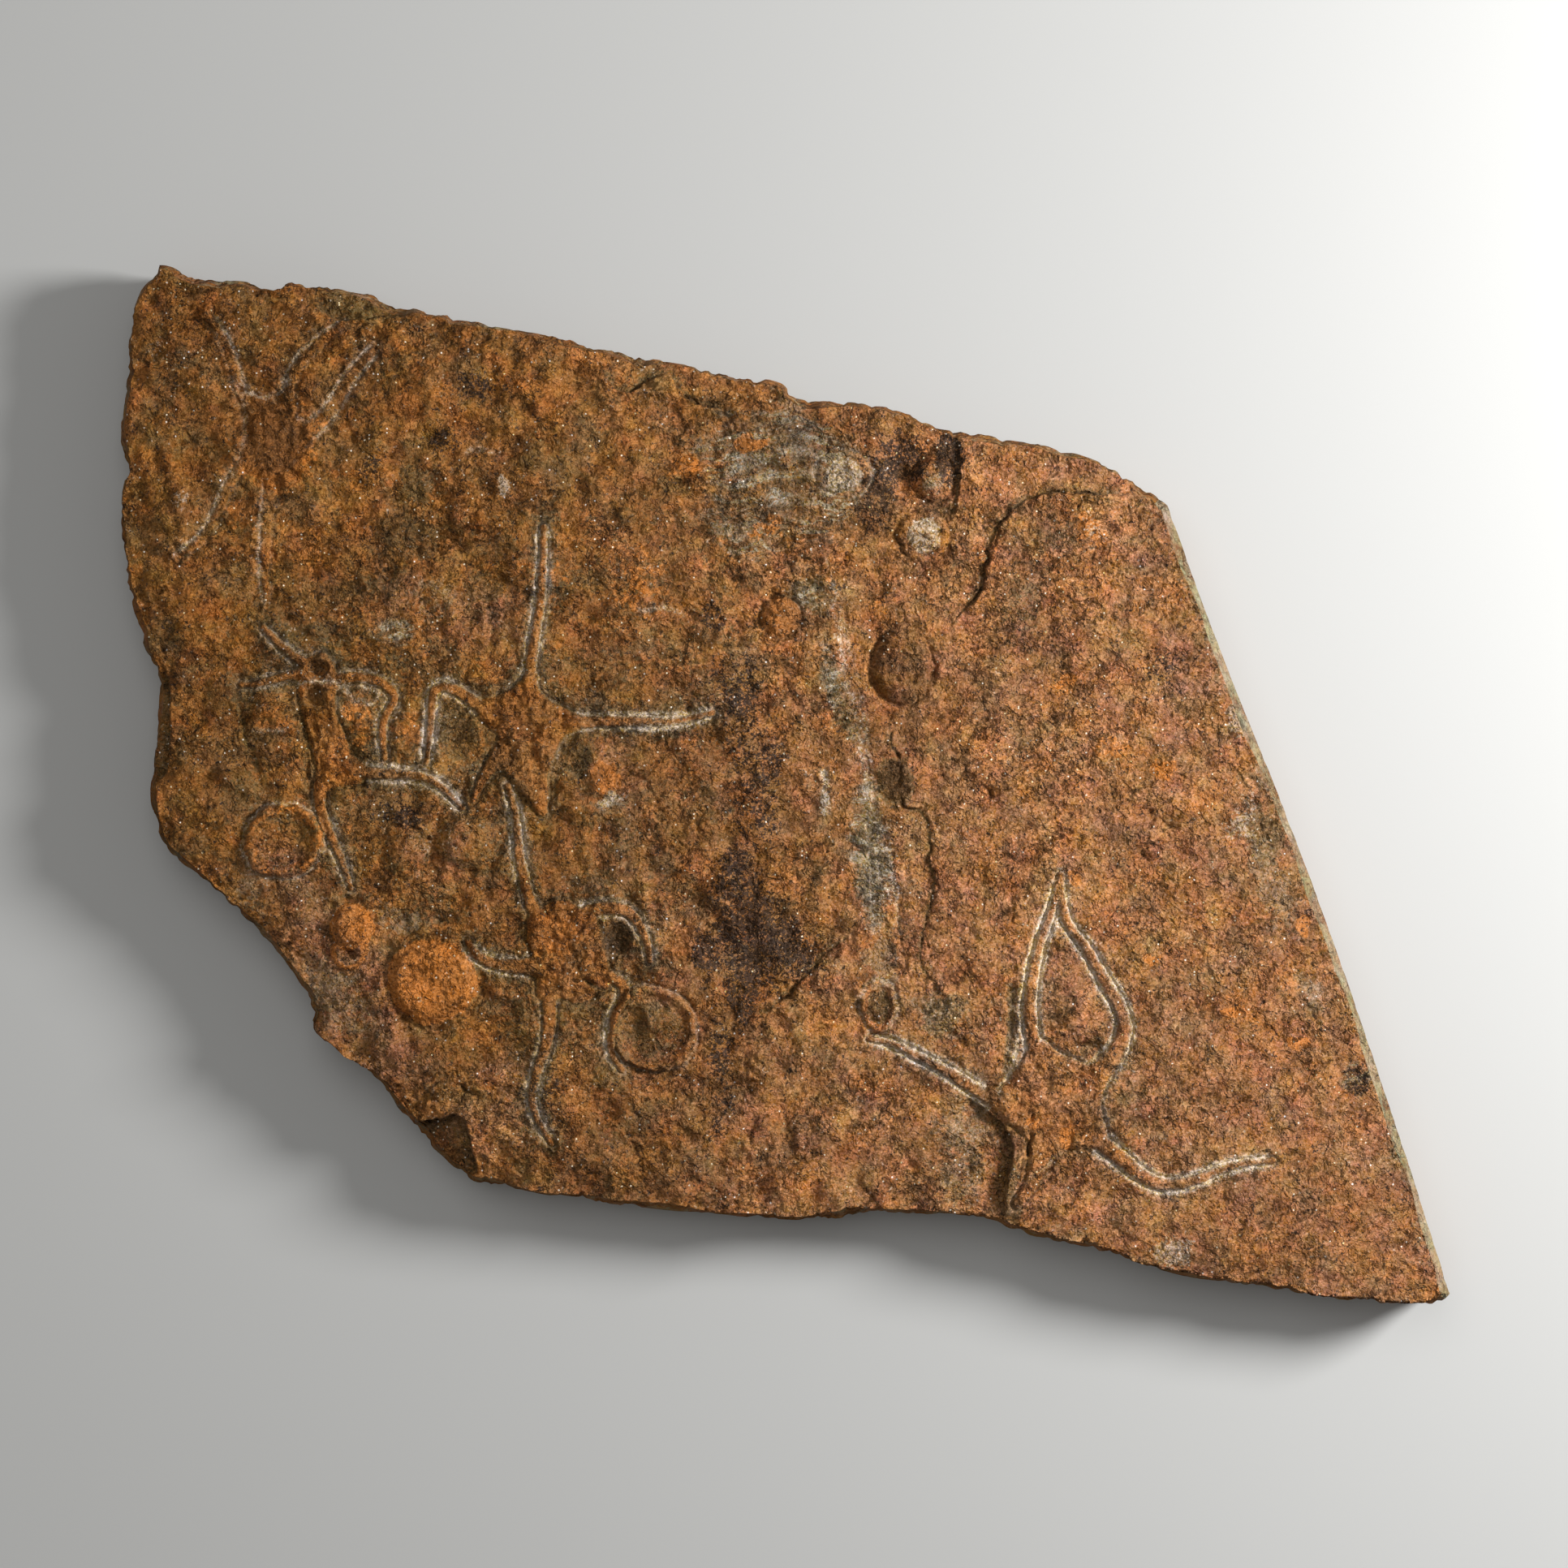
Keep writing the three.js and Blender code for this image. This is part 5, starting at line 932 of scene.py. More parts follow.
# ------------------------------------------------------------------ meshes
def add_mesh(name, points, quads, triangles, fields, materials, face_material=None):
    """A piece from points in millimetres and faces given as whole arrays, with its fields as
    point attributes, its object at the origin."""
    mesh = bpy.data.meshes.new(name)
    loops = np.concatenate([quads.ravel(), triangles.ravel()]).astype(np.int32)
    totals = np.concatenate([np.full(len(quads), 4), np.full(len(triangles), 3)])
    starts = np.concatenate([[0], np.cumsum(totals)[:-1]]).astype(np.int32)
    mesh.vertices.add(len(points))
    mesh.vertices.foreach_set("co", (points * MM).astype(np.float32).ravel())
    mesh.loops.add(len(loops))
    mesh.loops.foreach_set("vertex_index", loops)
    mesh.polygons.add(len(totals))
    mesh.polygons.foreach_set("loop_start", starts)
    mesh.polygons.foreach_set("loop_total", totals.astype(np.int32))
    if face_material is not None:
        mesh.polygons.foreach_set("material_index", face_material.astype(np.int32))
    mesh.polygons.foreach_set("use_smooth", np.ones(len(totals), bool))
    mesh.update(calc_edges=True)
    for key, values in fields.items():
        mesh.attributes.new(key, "FLOAT", "POINT").data.foreach_set(
            "value", values.astype(np.float32))
    if mesh.validate():
        raise RuntimeError(f"{name} had faces that had to be mended")
    for material in materials:
        mesh.materials.append(material)
    piece = bpy.data.objects.new(name, mesh)
    bpy.context.scene.collection.objects.link(piece)
    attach(piece, BODY)
    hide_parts(NODE)
    return piece


def grid_quads(rows, columns):
    """Index of the corners of each cell of a grid of points, anticlockwise seen from above,
    where the row index counts along the first direction and the column along the second."""
    index = np.arange(rows * columns).reshape(rows, columns)
    return np.stack([index[:-1, :-1], index[1:, :-1], index[1:, 1:], index[:-1, 1:]],
                    axis=-1).reshape(-1, 4)


def inlaid_relief(context, name, gap_of, shapes, box, lift):
    """A closed tile of relief let into the plate.

    Its top is the face itself over a square grid, kept where the gap is small, a hair above
    the plate. Past its margin it dips under the plate. Its underside is the top moved down."""
    sizes, colours, _ = settings(context)
    spacing = sizes.fine_step / MM
    margin, dip, slope, thickness = 0.8, 0.7, 0.9, 1.3
    low, high = box
    xs = np.arange(low[0], high[0] + spacing, spacing)
    ys = np.arange(low[1], high[1] + spacing, spacing)
    x, y = [a.ravel() for a in np.meshgrid(xs, ys, indexing="ij")]
    gap = inlay_gap(gap_of, shapes, x, y)
    near = np.flatnonzero(gap < margin + dip)
    cells = np.zeros(x.shape, bool)
    cells[near] = is_inside(OUTLINE, x[near], y[near])
    cells = cells.reshape(len(xs), len(ys))
    keep = cells[:-1, :-1] & cells[1:, :-1] & cells[1:, 1:] & cells[:-1, 1:]
    for _ in range(4):         # cells that touch at a corner alone are joined by a third
        one = keep[:-1, :-1] & keep[1:, 1:] & ~keep[1:, :-1] & ~keep[:-1, 1:]
        other = keep[1:, :-1] & keep[:-1, 1:] & ~keep[:-1, :-1] & ~keep[1:, 1:]
        keep[1:, :-1] |= one
        keep[:-1, :-1] |= other
    quads = grid_quads(len(xs), len(ys))[keep.ravel()]
    used = np.unique(quads)
    renumber = np.full(len(x), -1)
    renumber[used] = np.arange(len(used))
    quads = renumber[quads]
    x, y, gap = x[used], y[used], gap[used]
    z, fields = relief(x, y, sizes)
    top = z + lift - slope * np.clip(gap - margin, 0, None)
    count = len(used)
    points = np.vstack([np.column_stack([x, y, top]), np.column_stack([x, y, top - thickness])])
    edges = np.vstack([quads[:, [k, (k + 1) % 4]] for k in range(4)])
    key = np.sort(edges, axis=1) @ np.array([count, 1])
    _, first, uses = np.unique(key, return_index=True, return_counts=True)
    rim = edges[first[uses == 1]]
    walls = np.column_stack([rim[:, 1], rim[:, 0], rim[:, 0] + count, rim[:, 1] + count])
    faces = np.vstack([quads, quads[:, ::-1] + count, walls])
    fields = {key: np.concatenate([value, value]) for key, value in fields.items()}
    return add_mesh(name, points, faces, np.zeros((0, 3), int), fields, [face_stone(colours)])


def sway(s, phase):
    """A slow sway between -1 and 1 along the outline."""
    return 0.6 * np.sin(s / 7.3 + phase) + 0.4 * np.sin(s / 3.1 + 2.3 * phase)


def side_profile(t, sawn, s):
    """Inset from the outline and height for a share t of the way from rim to foot.

    Broken stone bulges and pulls in between its four levels, whose insets and heights are in
    millimetres. Sawn stone drops straight under a worn chamfer."""
    levels = (0, 0.3, 0.66, 1.0)

    def between(values):
        total = np.zeros(s.shape)
        for k in range(3):
            if levels[k] <= t <= levels[k + 1]:
                share = (t - levels[k]) / (levels[k + 1] - levels[k])
                blend = share if k == 0 else share * share * (3 - 2 * share)
                total = values[k] * (1 - blend) + values[k + 1] * blend
        return total

    zero = np.zeros(s.shape)
    broken_inset = between([1.5 + 0.7 * sway(s, 1), zero, 1 + 0.7 * sway(s, 3),
                            1.8 + 0.6 * sway(s, 5)])
    sawn_inset = between([2 + 0.5 * sway(s, 1), zero, zero, zero])
    broken_z = between([zero + 1, (13 + 1.2 * sway(s, 3.7)) / SIDE_HEIGHT,
                        (6.5 + sway(s, 4.7)) / SIDE_HEIGHT, zero])
    sawn_z = between([zero + 1, (15 + 0.3 * sway(s, 3.7)) / SIDE_HEIGHT,
                      zero + 6.5 / SIDE_HEIGHT, zero])
    return broken_inset + (sawn_inset - broken_inset) * sawn, (
        broken_z + (sawn_z - broken_z) * sawn)


def coons_patch(rim):
    """The grid of points between four rims of a closed loop: the sum of the straight blends
    between opposite rims, less the blend of the corners."""
    c, r = COLUMNS, ROWS
    bottom, right = rim[:c + 1], rim[c:c + r + 1]
    top = rim[c + r:2 * c + r + 1][::-1]
    left = np.vstack([rim[2 * c + r:], rim[:1]])[::-1]
    u = np.linspace(0, 1, c + 1)[:, None, None]
    v = np.linspace(0, 1, r + 1)[None, :, None]
    return ((1 - v) * bottom[:, None] + v * top[:, None]
            + (1 - u) * left[None] + u * right[None]
            - (1 - u) * (1 - v) * bottom[0] - u * (1 - v) * bottom[-1]
            - (1 - u) * v * top[0] - u * v * top[-1])


def build_plate(context):
    """The slab: a Coons patch for its face, rings of side and a flat back.

    Each side ring is the outline moved in by its profile and roughened by noise of the arc
    length and the height. The face is sunk where an inlaid relief stands on it."""
    sizes, colours, _ = settings(context)
    left = even_points(LEFT_EDGE, ROWS)[::-1]
    right = even_points(SAWN_EDGE, ROWS)
    bottom = even_points(BOTTOM_EDGE, COLUMNS)
    top = even_points(TOP_EDGE, COLUMNS)[::-1]
    loop = np.vstack([bottom[:-1], right[:-1], top[:0:-1], left[:0:-1]])
    tangent = np.roll(loop, -1, axis=0) - np.roll(loop, 1, axis=0)
    tangent /= np.linalg.norm(tangent, axis=1)[:, None]
    outward = np.column_stack([tangent[:, 1], -tangent[:, 0]])
    s = np.concatenate([[0], np.cumsum(np.linalg.norm(np.diff(loop, axis=0), axis=1))])
    sawn = 1 - step(nearest(curve_through(SAWN_EDGE, 2), loop[:, 0], loop[:, 1], 6)[0], 0.5, 4)
    nick = np.clip(fractal(s, s * 0, 3.4, 3, 61, 0.6) + 0.1, 0, None) * (1 - 0.8 * sawn)
    base = loop - 0.7 * nick[:, None] * outward

    def ring(t):
        inset, share = side_profile(t, sawn, s)
        if 0 < t < 1:
            z_mm = SIDE_HEIGHT * share
            chunks = fractal(s, z_mm * 1.7, 9, 3, 67, 0.6)
            strata = noise(s * 0.15, z_mm, 1.6, 77)
            inset = inset + (1 - sawn) * np.clip(1.1 * chunks + 0.6 * strata + 0.2, 0, 2.6)
        return base - inset[:, None] * outward, share

    rim, _ = ring(0)
    count = len(rim)
    face = coons_patch(rim)
    x, y = face[..., 0].ravel(), face[..., 1].ravel()
    z, fields = relief(x, y, sizes)
    inlays = np.min([inlay_gap(star_gap, STARS, x, y), inlay_gap(disc_gap, DISCS, x, y),
                     inlay_gap(line_gap, LEDGES + CRACKS + TRENCHES, x, y)], axis=0)
    z = z - np.clip(-inlays * SEAT_SLOPE, 0, sizes.seat / MM)
    index = np.arange(len(x)).reshape(COLUMNS + 1, ROWS + 1)
    rim_index = np.concatenate([index[:-1, 0], index[-1, :-1], index[:0:-1, -1],
                                index[0, :0:-1]])
    points, rings = [np.column_stack([x, y, z])], [rim_index]
    total = len(x)
    levels = []
    for t in np.linspace(0, 1, SIDE_RINGS + 1)[1:]:
        foot, share = ring(t)
        levels.append(np.column_stack([foot, z[rim_index] * share]))
    middle = foot.mean(axis=0)
    for factor in BACK_RINGS:
        levels.append(np.column_stack([middle + factor * (foot - middle), np.zeros(count)]))
    for level in levels:
        points.append(level)
        rings.append(total + np.arange(count))
        total += count
    points = np.vstack(points + [[[*middle, 0.0]]])
    off_face = np.zeros(len(points) - len(x))
    fields = {key: np.concatenate([value, off_face]) for key, value in fields.items()}
    quads = [grid_quads(COLUMNS + 1, ROWS + 1)]
    parts = [np.zeros(len(quads[0]))]
    for k, (upper, lower) in enumerate(zip(rings, rings[1:])):
        quads.append(np.column_stack([upper, lower, np.roll(lower, -1), np.roll(upper, -1)]))
        chamfer = (k < SIDE_RINGS * 0.3) & (sawn > 0.5)
        parts.append(np.where(chamfer, 2, 1) if k < SIDE_RINGS else np.full(count, 3))
    fan = np.column_stack([rings[-1], np.full(count, total), np.roll(rings[-1], -1)])
    parts.append(np.full(count, 3))
    materials = [
        face_stone(colours),
        plain_stone("Broken edge", colours.crust_dark, colours.crust, colours.bare, 0.93, 1.6,
                    (0.8, 0.8, 1.7)),
        # The chamfer's pale grey colours are partly worn, sawn stone and partly painted light,
        # for the chamfer faces the key light
        plain_stone("Worn chamfer with painted light", colours.sand_dark, colours.bare, colours.scrape, 0.85,
                    1.3),
        plain_stone("Sawn back", colours.crust_dark, colours.bare, colours.sand, 0.8, 0.3,
                    (0.25, 2, 1))]
    return add_mesh("sandstone_plate", points, np.vstack(quads), fan, fields, materials,
                    np.concatenate(parts))


# ------------------------------------------------------------------ shader building blocks
class Tree:
    """Adds nodes to a node tree. An input is a value, or the output socket of a node."""

    def __init__(self, tree):
        self.tree = tree
        self.column = 0

    def add(self, kind, inputs=(), **options):
        """Adds a node with its options and inputs, to the right of the last one."""
        node = self.tree.nodes.new(kind)
        node.location = (self.column * 30, -(self.column % 7) * 160)
        self.column += 1
        for key, value in options.items():
            setattr(node, key, value)
        for key, value in dict(inputs).items():
            socket = node.inputs[key]
            if isinstance(value, bpy.types.NodeSocket):
                self.tree.links.new(value, socket)
            else:
                socket.default_value = value
        return node

    def attribute(self, name):
        return self.add("ShaderNodeAttribute", attribute_name=name).outputs["Fac"]

    def math(self, operation, a, b=0.0):
        return self.add("ShaderNodeMath", {0: a, 1: b}, operation=operation).outputs[0]

    def times(self, a, b):
        return self.math("MULTIPLY", a, b)

    def less(self, a, b):
        return self.math("SUBTRACT", a, b)

    def vector(self, operation, *values, **named):
        node = self.add("ShaderNodeVectorMath", {**dict(enumerate(values)), **named},
                        operation=operation)
        return node.outputs["Value" if operation == "DOT_PRODUCT" else "Vector"]

    def ramp(self, value, low, high, start=0.0, end=1.0):
        """Smooth step of a value between low and high, from start to end."""
        return self.add("ShaderNodeMapRange", {
            "Value": value, "From Min": low, "From Max": high, "To Min": start,
            "To Max": end}, interpolation_type="SMOOTHSTEP").outputs[0]

    def noise(self, vector, scale, detail=3.0, roughness=0.5, output="Fac"):
        return self.add("ShaderNodeTexNoise", {
            "Vector": vector, "Scale": scale, "Detail": detail,
            "Roughness": roughness}).outputs[output]

    def mix(self, factor, a, b, blend="MIX"):
        return self.add("ShaderNodeMix", {0: factor, 6: a, 7: b}, data_type="RGBA",
                        blend_type=blend).outputs[2]

    def weigh(self, *terms):
        """Sum of values, each times its weight."""
        total = 0.0
        for weight, value in terms:
            total = self.add("ShaderNodeMath", {0: value, 1: weight, 2: total},
                             operation="MULTIPLY_ADD").outputs[0]
        return total

    def stretch(self, vector, scale, turn=0.0):
        return self.add("ShaderNodeMapping", {
            "Vector": vector, "Rotation": (0, 0, turn), "Scale": scale}).outputs[0]

    def place(self, group, at, **inputs):
        """Places a shader group and gives back its outputs."""
        return self.add("ShaderNodeGroup", {"Vector": at, **inputs},
                        node_tree=group()).outputs


def shader_group(name, outputs, **inputs):
    """Makes a shader group of a function that gives back the outputs in order. The group is
    built on first use. Besides its Vector, each input is a number, or the word Color."""
    def wrap(build):
        def group():
            made = bpy.data.node_groups.get(name)
            if made:
                return made
            made = bpy.data.node_groups.new(name, "ShaderNodeTree")
            made.interface.new_socket(name="Vector", in_out="INPUT",
                                      socket_type="NodeSocketVector")
            for label, start in inputs.items():
                kind = start if start == "Color" else "Float"
                socket = made.interface.new_socket(name=label, in_out="INPUT",
                                                   socket_type="NodeSocket" + kind)
                if kind == "Float":
                    socket.default_value = start
            for label in outputs:
                kind = label if label == "Color" else "Float"
                made.interface.new_socket(name=label, in_out="OUTPUT",
                                          socket_type="NodeSocket" + kind)
            t = Tree(made)
            given, out = t.add("NodeGroupInput").outputs, t.add("NodeGroupOutput").inputs
            for label, value in zip(outputs, build(t, given["Vector"], given)):
                made.links.new(value, out[label])
            return made
        return group
    return wrap


@shader_group("Crumbled stone", ("Height", "Rough", "Grain", "Broken"), Even=0.0)
def crumbled(t, at, given):
    """Height in millimetres of broken stone. It is the sum of a rough noise, three terraces
    (a noise cut by a steep step) and two sizes of facet: the cells of a warped Voronoi
    pattern, each a plane through its point with a random tilt and a random small step. All
    of it is about a mean of 2 mm and swells in broken zones, which a coarse noise picks."""
    centre = (0.5, 0.5, 0.5)
    push = t.vector("SUBTRACT", t.noise(at, 330, 1, output="Color"), centre)
    warped = t.vector("ADD", at, t.vector("SCALE", push, Scale=0.0022))

    def facet(scale, tilt, rise):
        cell = t.add("ShaderNodeTexVoronoi", {"Vector": warped, "Scale": scale}).outputs
        off = t.vector("SUBTRACT", warped, cell["Position"])
        slope = t.vector("DOT_PRODUCT", off, t.vector("SUBTRACT", cell["Color"], centre))
        number = t.add("ShaderNodeSeparateColor", {0: cell["Color"]}).outputs[1]
        return t.weigh((1000 * tilt, slope), (rise, number)), number

    rough = t.noise(at, 230, 5, 0.6)
    terraces = [t.ramp(t.noise(warped, scale, detail, 0.55), 0.49, 0.52)
                for scale, detail in ((105, 4), (270, 3), (640, 2))]
    big, big_number = facet(330, 0.8, 0.1)
    small, small_number = facet(900, 1.3, 0.1)
    height = t.weigh((2.6, rough), *zip((0.5, 0.4, 0.28), terraces), (1.0, big), (1.0, small))
    broken = t.times(t.ramp(t.noise(at, 78, 4, 0.68), 0.43, 0.6),
                     t.ramp(given["Even"], 0, 1, 1, 0.45))
    return (t.times(t.less(height, 2.0), t.ramp(broken, 0, 1, 0.6, 1.3)),
            t.weigh((0.6, rough), *zip((0.14, 0.14, 0.12), terraces)),
            t.weigh((0.5, big_number), (0.5, small_number)), broken)


@shader_group("Mottled crust", ("Color", "Height", "Rough", "Broken"), Even=0.0, Dark="Color",
              Middle="Color", Light="Color")
def mottling(t, at, given):
    """Crust colour: dark in the lows of the broken stone and light on its highs, partly dirt and
    partly painted shade and highlight that follow its bump, with coarse and fine noise and the
    random numbers of the facets mixed in."""
    stone = t.place(crumbled, at, Even=given["Even"])
    broken = stone["Broken"]
    mixed = t.weigh((0.3, t.noise(at, 70, 3, 0.65)), (0.2, stone["Rough"]),
                    (0.3, t.noise(at, 1500, 2, 0.7)), (0.2, stone["Grain"]))
    spread = t.times(t.less(mixed, 0.5), t.ramp(broken, 0, 1, 0.5, 0.95))
    mixed = t.weigh((1.0, spread), (-0.035, broken), (1.0, 0.517))
    lower = t.mix(t.ramp(mixed, 0.36, 0.5), given["Dark"], given["Middle"])
    full = t.mix(t.ramp(mixed, 0.48, 0.6), lower, given["Light"])
    hues = t.noise(at, 150, 4, 0.7, "Color")
    return t.mix(0.36, full, hues, "OVERLAY"), stone["Height"], stone["Rough"], broken


@shader_group("Grain tint", ("Color",), Color="Color")
def grain_tint(t, at, given):
    """Sandy play of colour: dark grains are deeper and browner, light grains greyer. Each
    channel is scaled by one plus its own share of a fine and of a coarse noise."""
    def swing(scale, detail, roughness, share, start):
        wave = t.less(t.noise(at, scale, detail, roughness), 0.5)
        return t.vector("MULTIPLY_ADD", wave, share, start)

    level = swing(1800, 2, 0.8, (1.9, 2.5, 5.0), (1, 1, 1))
    level = swing(120, 4, 0.7, (-0.25, 0.2, 1.7), level)
    level = t.vector("MAXIMUM", level, (0.25, 0.2, 0.08))
    return (t.vector("MULTIPLY", given["Color"], level),)


@shader_group("Pitting", ("Mask",), Scale=600.0, Level=0.6)
def pitting(t, at, given):
    """Irregular small pits: the crests of a rough noise, cut by a steep step."""
    rough = t.noise(at, given["Scale"], 2, 0.7)
    return (t.ramp(rough, given["Level"], t.math("ADD", given["Level"], 0.06)),)


@shader_group("Specks", ("Mask",), Scale=900.0, Share=0.2, Radius=0.4)
def specks(t, at, given):
    """Scattered grains: the cells of a flat Voronoi pattern whose random number is low enough,
    cut to a round spot."""
    cells = t.add("ShaderNodeTexVoronoi", {"Vector": at, "Scale": given["Scale"]},
                  voronoi_dimensions="2D").outputs
    random = t.add("ShaderNodeSeparateColor", {0: cells["Color"]}).outputs[0]
    spot = t.add("ShaderNodeMapRange", {
        "Value": cells["Distance"], "From Min": given["Radius"],
        "From Max": t.times(given["Radius"], 0.6), "To Min": 0.0, "To Max": 1.0}).outputs[0]
    return (t.times(t.math("LESS_THAN", random, given["Share"]), spot),)


@shader_group("Broken patch", ("Mask",), Amount=0.0, Scale=400.0, Raggedness=1.0)
def broken_patch(t, at, given):
    """Turns a soft amount into a speckled patch: the amount, doubled less one, plus noise of
    two sizes, goes through a steep step, so that the amount becomes the share covered."""
    scale = given["Scale"]
    grain = t.weigh((2.6, t.noise(at, scale, 2, 0.7)),
                    (2.6, t.noise(at, t.times(scale, 3.3), 1, 0.7)), (1.0, -2.6))
    level = t.less(t.times(given["Amount"], 2.0), 1.0)
    return (t.ramp(t.math("ADD", level, t.times(grain, given["Raggedness"])), -0.3, 0.35),)


@shader_group("Fine scratches", ("Light", "Dark"))
def scratches(t, at, given):
    """Fine parallel scratches: noise drawn out along one direction, cut at its crests."""
    push = t.times(t.less(t.noise(at, 75, 3), 0.5), 0.012)
    bent = t.vector("ADD", at, t.add("ShaderNodeCombineXYZ", {1: push}).outputs[0])
    drawn = t.noise(t.stretch(bent, (70, 640, 1), 0.13), 1, 4, 0.66)
    return t.ramp(drawn, 0.5, 0.55), t.ramp(drawn, 0.45, 0.39)


@shader_group("Scribed line", ("Mask", "Dust"), Gap=6.0, Strength=0.0, Offset=0.3, Width=0.56)
def scribed_line(t, at, given):
    """Pale bruise along the edge of a fossil: a bell curve of the gap, crumbled by noise, and
    a wider band of dust that fades by an exponential."""
    strength = given["Strength"]
    wander = t.times(t.less(t.noise(at, 420, 3, 0.7), 0.5), 1.3)
    off = t.less(t.math("ADD", given["Gap"], wander), given["Offset"])
    off = t.math("DIVIDE", off, t.times(given["Width"], t.ramp(strength, 0.2, 1.5, 0.75, 1.1)))
    middle = t.math("EXPONENT", t.times(t.times(off, off), -1.0))
    crumbs = t.times(t.ramp(t.noise(at, 1500, 2, 0.75), 0.36, 0.56),
                     t.ramp(t.noise(at, 130, 3), 0.36, 0.56, 0.5, 1.25))
    amount = t.times(t.times(middle, strength), t.math("ADD", t.times(crumbs, 0.7), 0.45))
    wide = t.times(t.math("EXPONENT", t.times(t.math("ABSOLUTE", off), -0.45)),
                   t.ramp(strength, 0.05, 0.7))
    return t.math("MINIMUM", amount, 1.0), t.times(wide, crumbs)


FACE_COLOURS = ("Crust Dark", "Crust", "Crust Light", "Sand Dark", "Sand", "Sand Light", "Rust",
                "Stain", "Shade", "Bare", "Scrape", "Olive", "Slate", "Pale", "Glint",
                "Fossil")


@shader_group("Weathered face", ("Color", "Roughness", "Height"),
              **dict.fromkeys(FACE_COLOURS, "Color"))
def weathered_face(t, at, given):
    """Colour, roughness and height of the weathered face from the fields of the relief."""
    field = {key: t.attribute(key) for key in FIELDS}
    tone, rust = field["tone"], field["rust"]
    dark, middle, light = [t.mix(tone, given["Crust" + key], given["Sand" + key])
                           for key in (" Dark", "", " Light")]
    even = t.ramp(t.add("ShaderNodeSeparateXYZ", {0: at}).outputs[0], 0.05, 0.105)
    mottled = t.place(mottling, at, Even=even, Dark=dark, Middle=middle, Light=light)
    broken = mottled["Broken"]

    def patch(amount, scale, raggedness=1.0):
        return t.place(broken_patch, at, Amount=amount, Scale=scale,
                       Raggedness=raggedness)["Mask"]

    def pits(scale, level):
        return t.place(pitting, at, Scale=scale, Level=level)["Mask"]

    def cover(color, layers):
        """Lays each mask's share of its colour over the last."""
        for mask, share, over in layers:
            color = t.mix(t.times(mask, share), color, over)
        return color

    stray_rust = t.ramp(t.noise(at, 85, 3, 0.7), 0.48, 0.68, 0.0, 0.75)
    stray_olive = t.times(t.ramp(t.noise(at, 62, 4, 0.7), 0.44, 0.62),
                          t.ramp(tone, 0.1, 0.9, 0.8, 0.4))
    lines = t.place(scratches, at)
    scraped = t.times(t.ramp(field["scrape"], 0.05, 0.7),
                      t.ramp(t.noise(at, 110, 3), 0.36, 0.54, 0.35, 1.0))
    color = cover(mottled["Color"], (
        (patch(stray_rust, 260), 0.22, given["Rust"]),
        (patch(stray_olive, 230), 0.38, given["Olive"]),
        (patch(field["olive"], 300, 0.8), 0.62, given["Olive"]),
        (patch(field["bare"], 260), 0.55, given["Bare"]),
        (patch(field["scrape"], 200), 0.5, given["Slate"]),
        (t.times(lines["Light"], scraped), 0.75, given["Scrape"]),
        # Painted shade along the scratches' dark lines
        (t.times(lines["Dark"], scraped), 0.45, given["Shade"]),
        (field["fossil"], 0.4, given["Fossil"]),
        (patch(rust, 260), 0.72, given["Rust"]),
        (patch(field["stain"], 560, 1.9), 0.9, given["Stain"]),
        (patch(field["pale"], 450, 1.2), 0.55, given["Pale"]),
        # Painted shade: the Shade colour where the hollow field marks shadow
        (t.ramp(field["hollow"], 0.5, 1.6), 0.75, given["Shade"])))
    # holes: painted shade in small pits, which are also dented into the bump
    holes = t.math("MAXIMUM", t.times(pits(520.0, 0.58), t.ramp(broken, 0, 1, 0.04, 0.36)),
                   t.times(pits(1250.0, 0.56), t.ramp(broken, 0, 1, 0.2, 0.62)))
    holes = t.times(holes, t.ramp(rust, 0.2, 1, 1, 0.35))
    scribed = t.place(scribed_line, at, Gap=field["gap"], Strength=field["line"])
    glints = t.place(specks, at, Scale=1000.0, Share=t.ramp(broken, 0, 1, 0.017, 0.05),
                     Radius=0.23)["Mask"]
    color = cover(t.mix(holes, color, given["Shade"]), (
        (pits(1650.0, 0.57), 0.48, light),
        # Painted shade in the lows of the rough stone
        (t.ramp(mottled["Rough"], 0.46, 0.34), 0.2, given["Shade"]),
        (scribed["Dust"], 0.3, given["Scrape"])))
    color = t.mix(scribed["Mask"], color, given["Pale"])
    # Painted highlights: the glints lay the Glint colour over the stone
    color = cover(color, ((glints, 0.85, given["Glint"]),))
    color = t.place(grain_tint, at, Color=color)["Color"]
    cloud = t.ramp(t.noise(at, 26, 3, 0.6), 0.36, 0.64, t.ramp(even, 0, 1, 0.87, 0.83),
                   t.ramp(even, 0, 1, 1.1, 0.93))
    return (t.vector("SCALE", color, Scale=cloud), t.weigh((1.0, 0.75), (-0.45, glints)),
            t.weigh((1.0, mottled["Height"]), (-0.3, holes)))


def stone_material(name, fill):
    """A material whose fill function gives colour, roughness, height and the depth of that
    height for its shader."""
    material = bpy.data.materials.get(name)
    if material:
        return material
    material = bpy.data.materials.new(name)
    material.use_nodes = True
    material.node_tree.nodes.clear()
    t = Tree(material.node_tree)
    color, roughness, height, depth = fill(t, t.add("ShaderNodeTexCoord").outputs["Object"])
    bump = t.add("ShaderNodeBump", {"Height": height, "Distance": depth, "Strength": 1.0})
    shader = t.add("ShaderNodeBsdfPrincipled", {
        "Base Color": color, "Roughness": roughness, "Normal": bump.outputs[0],
        "Specular IOR Level": 0.2})
    t.add("ShaderNodeOutputMaterial", {"Surface": shader.outputs[0]})
    return material


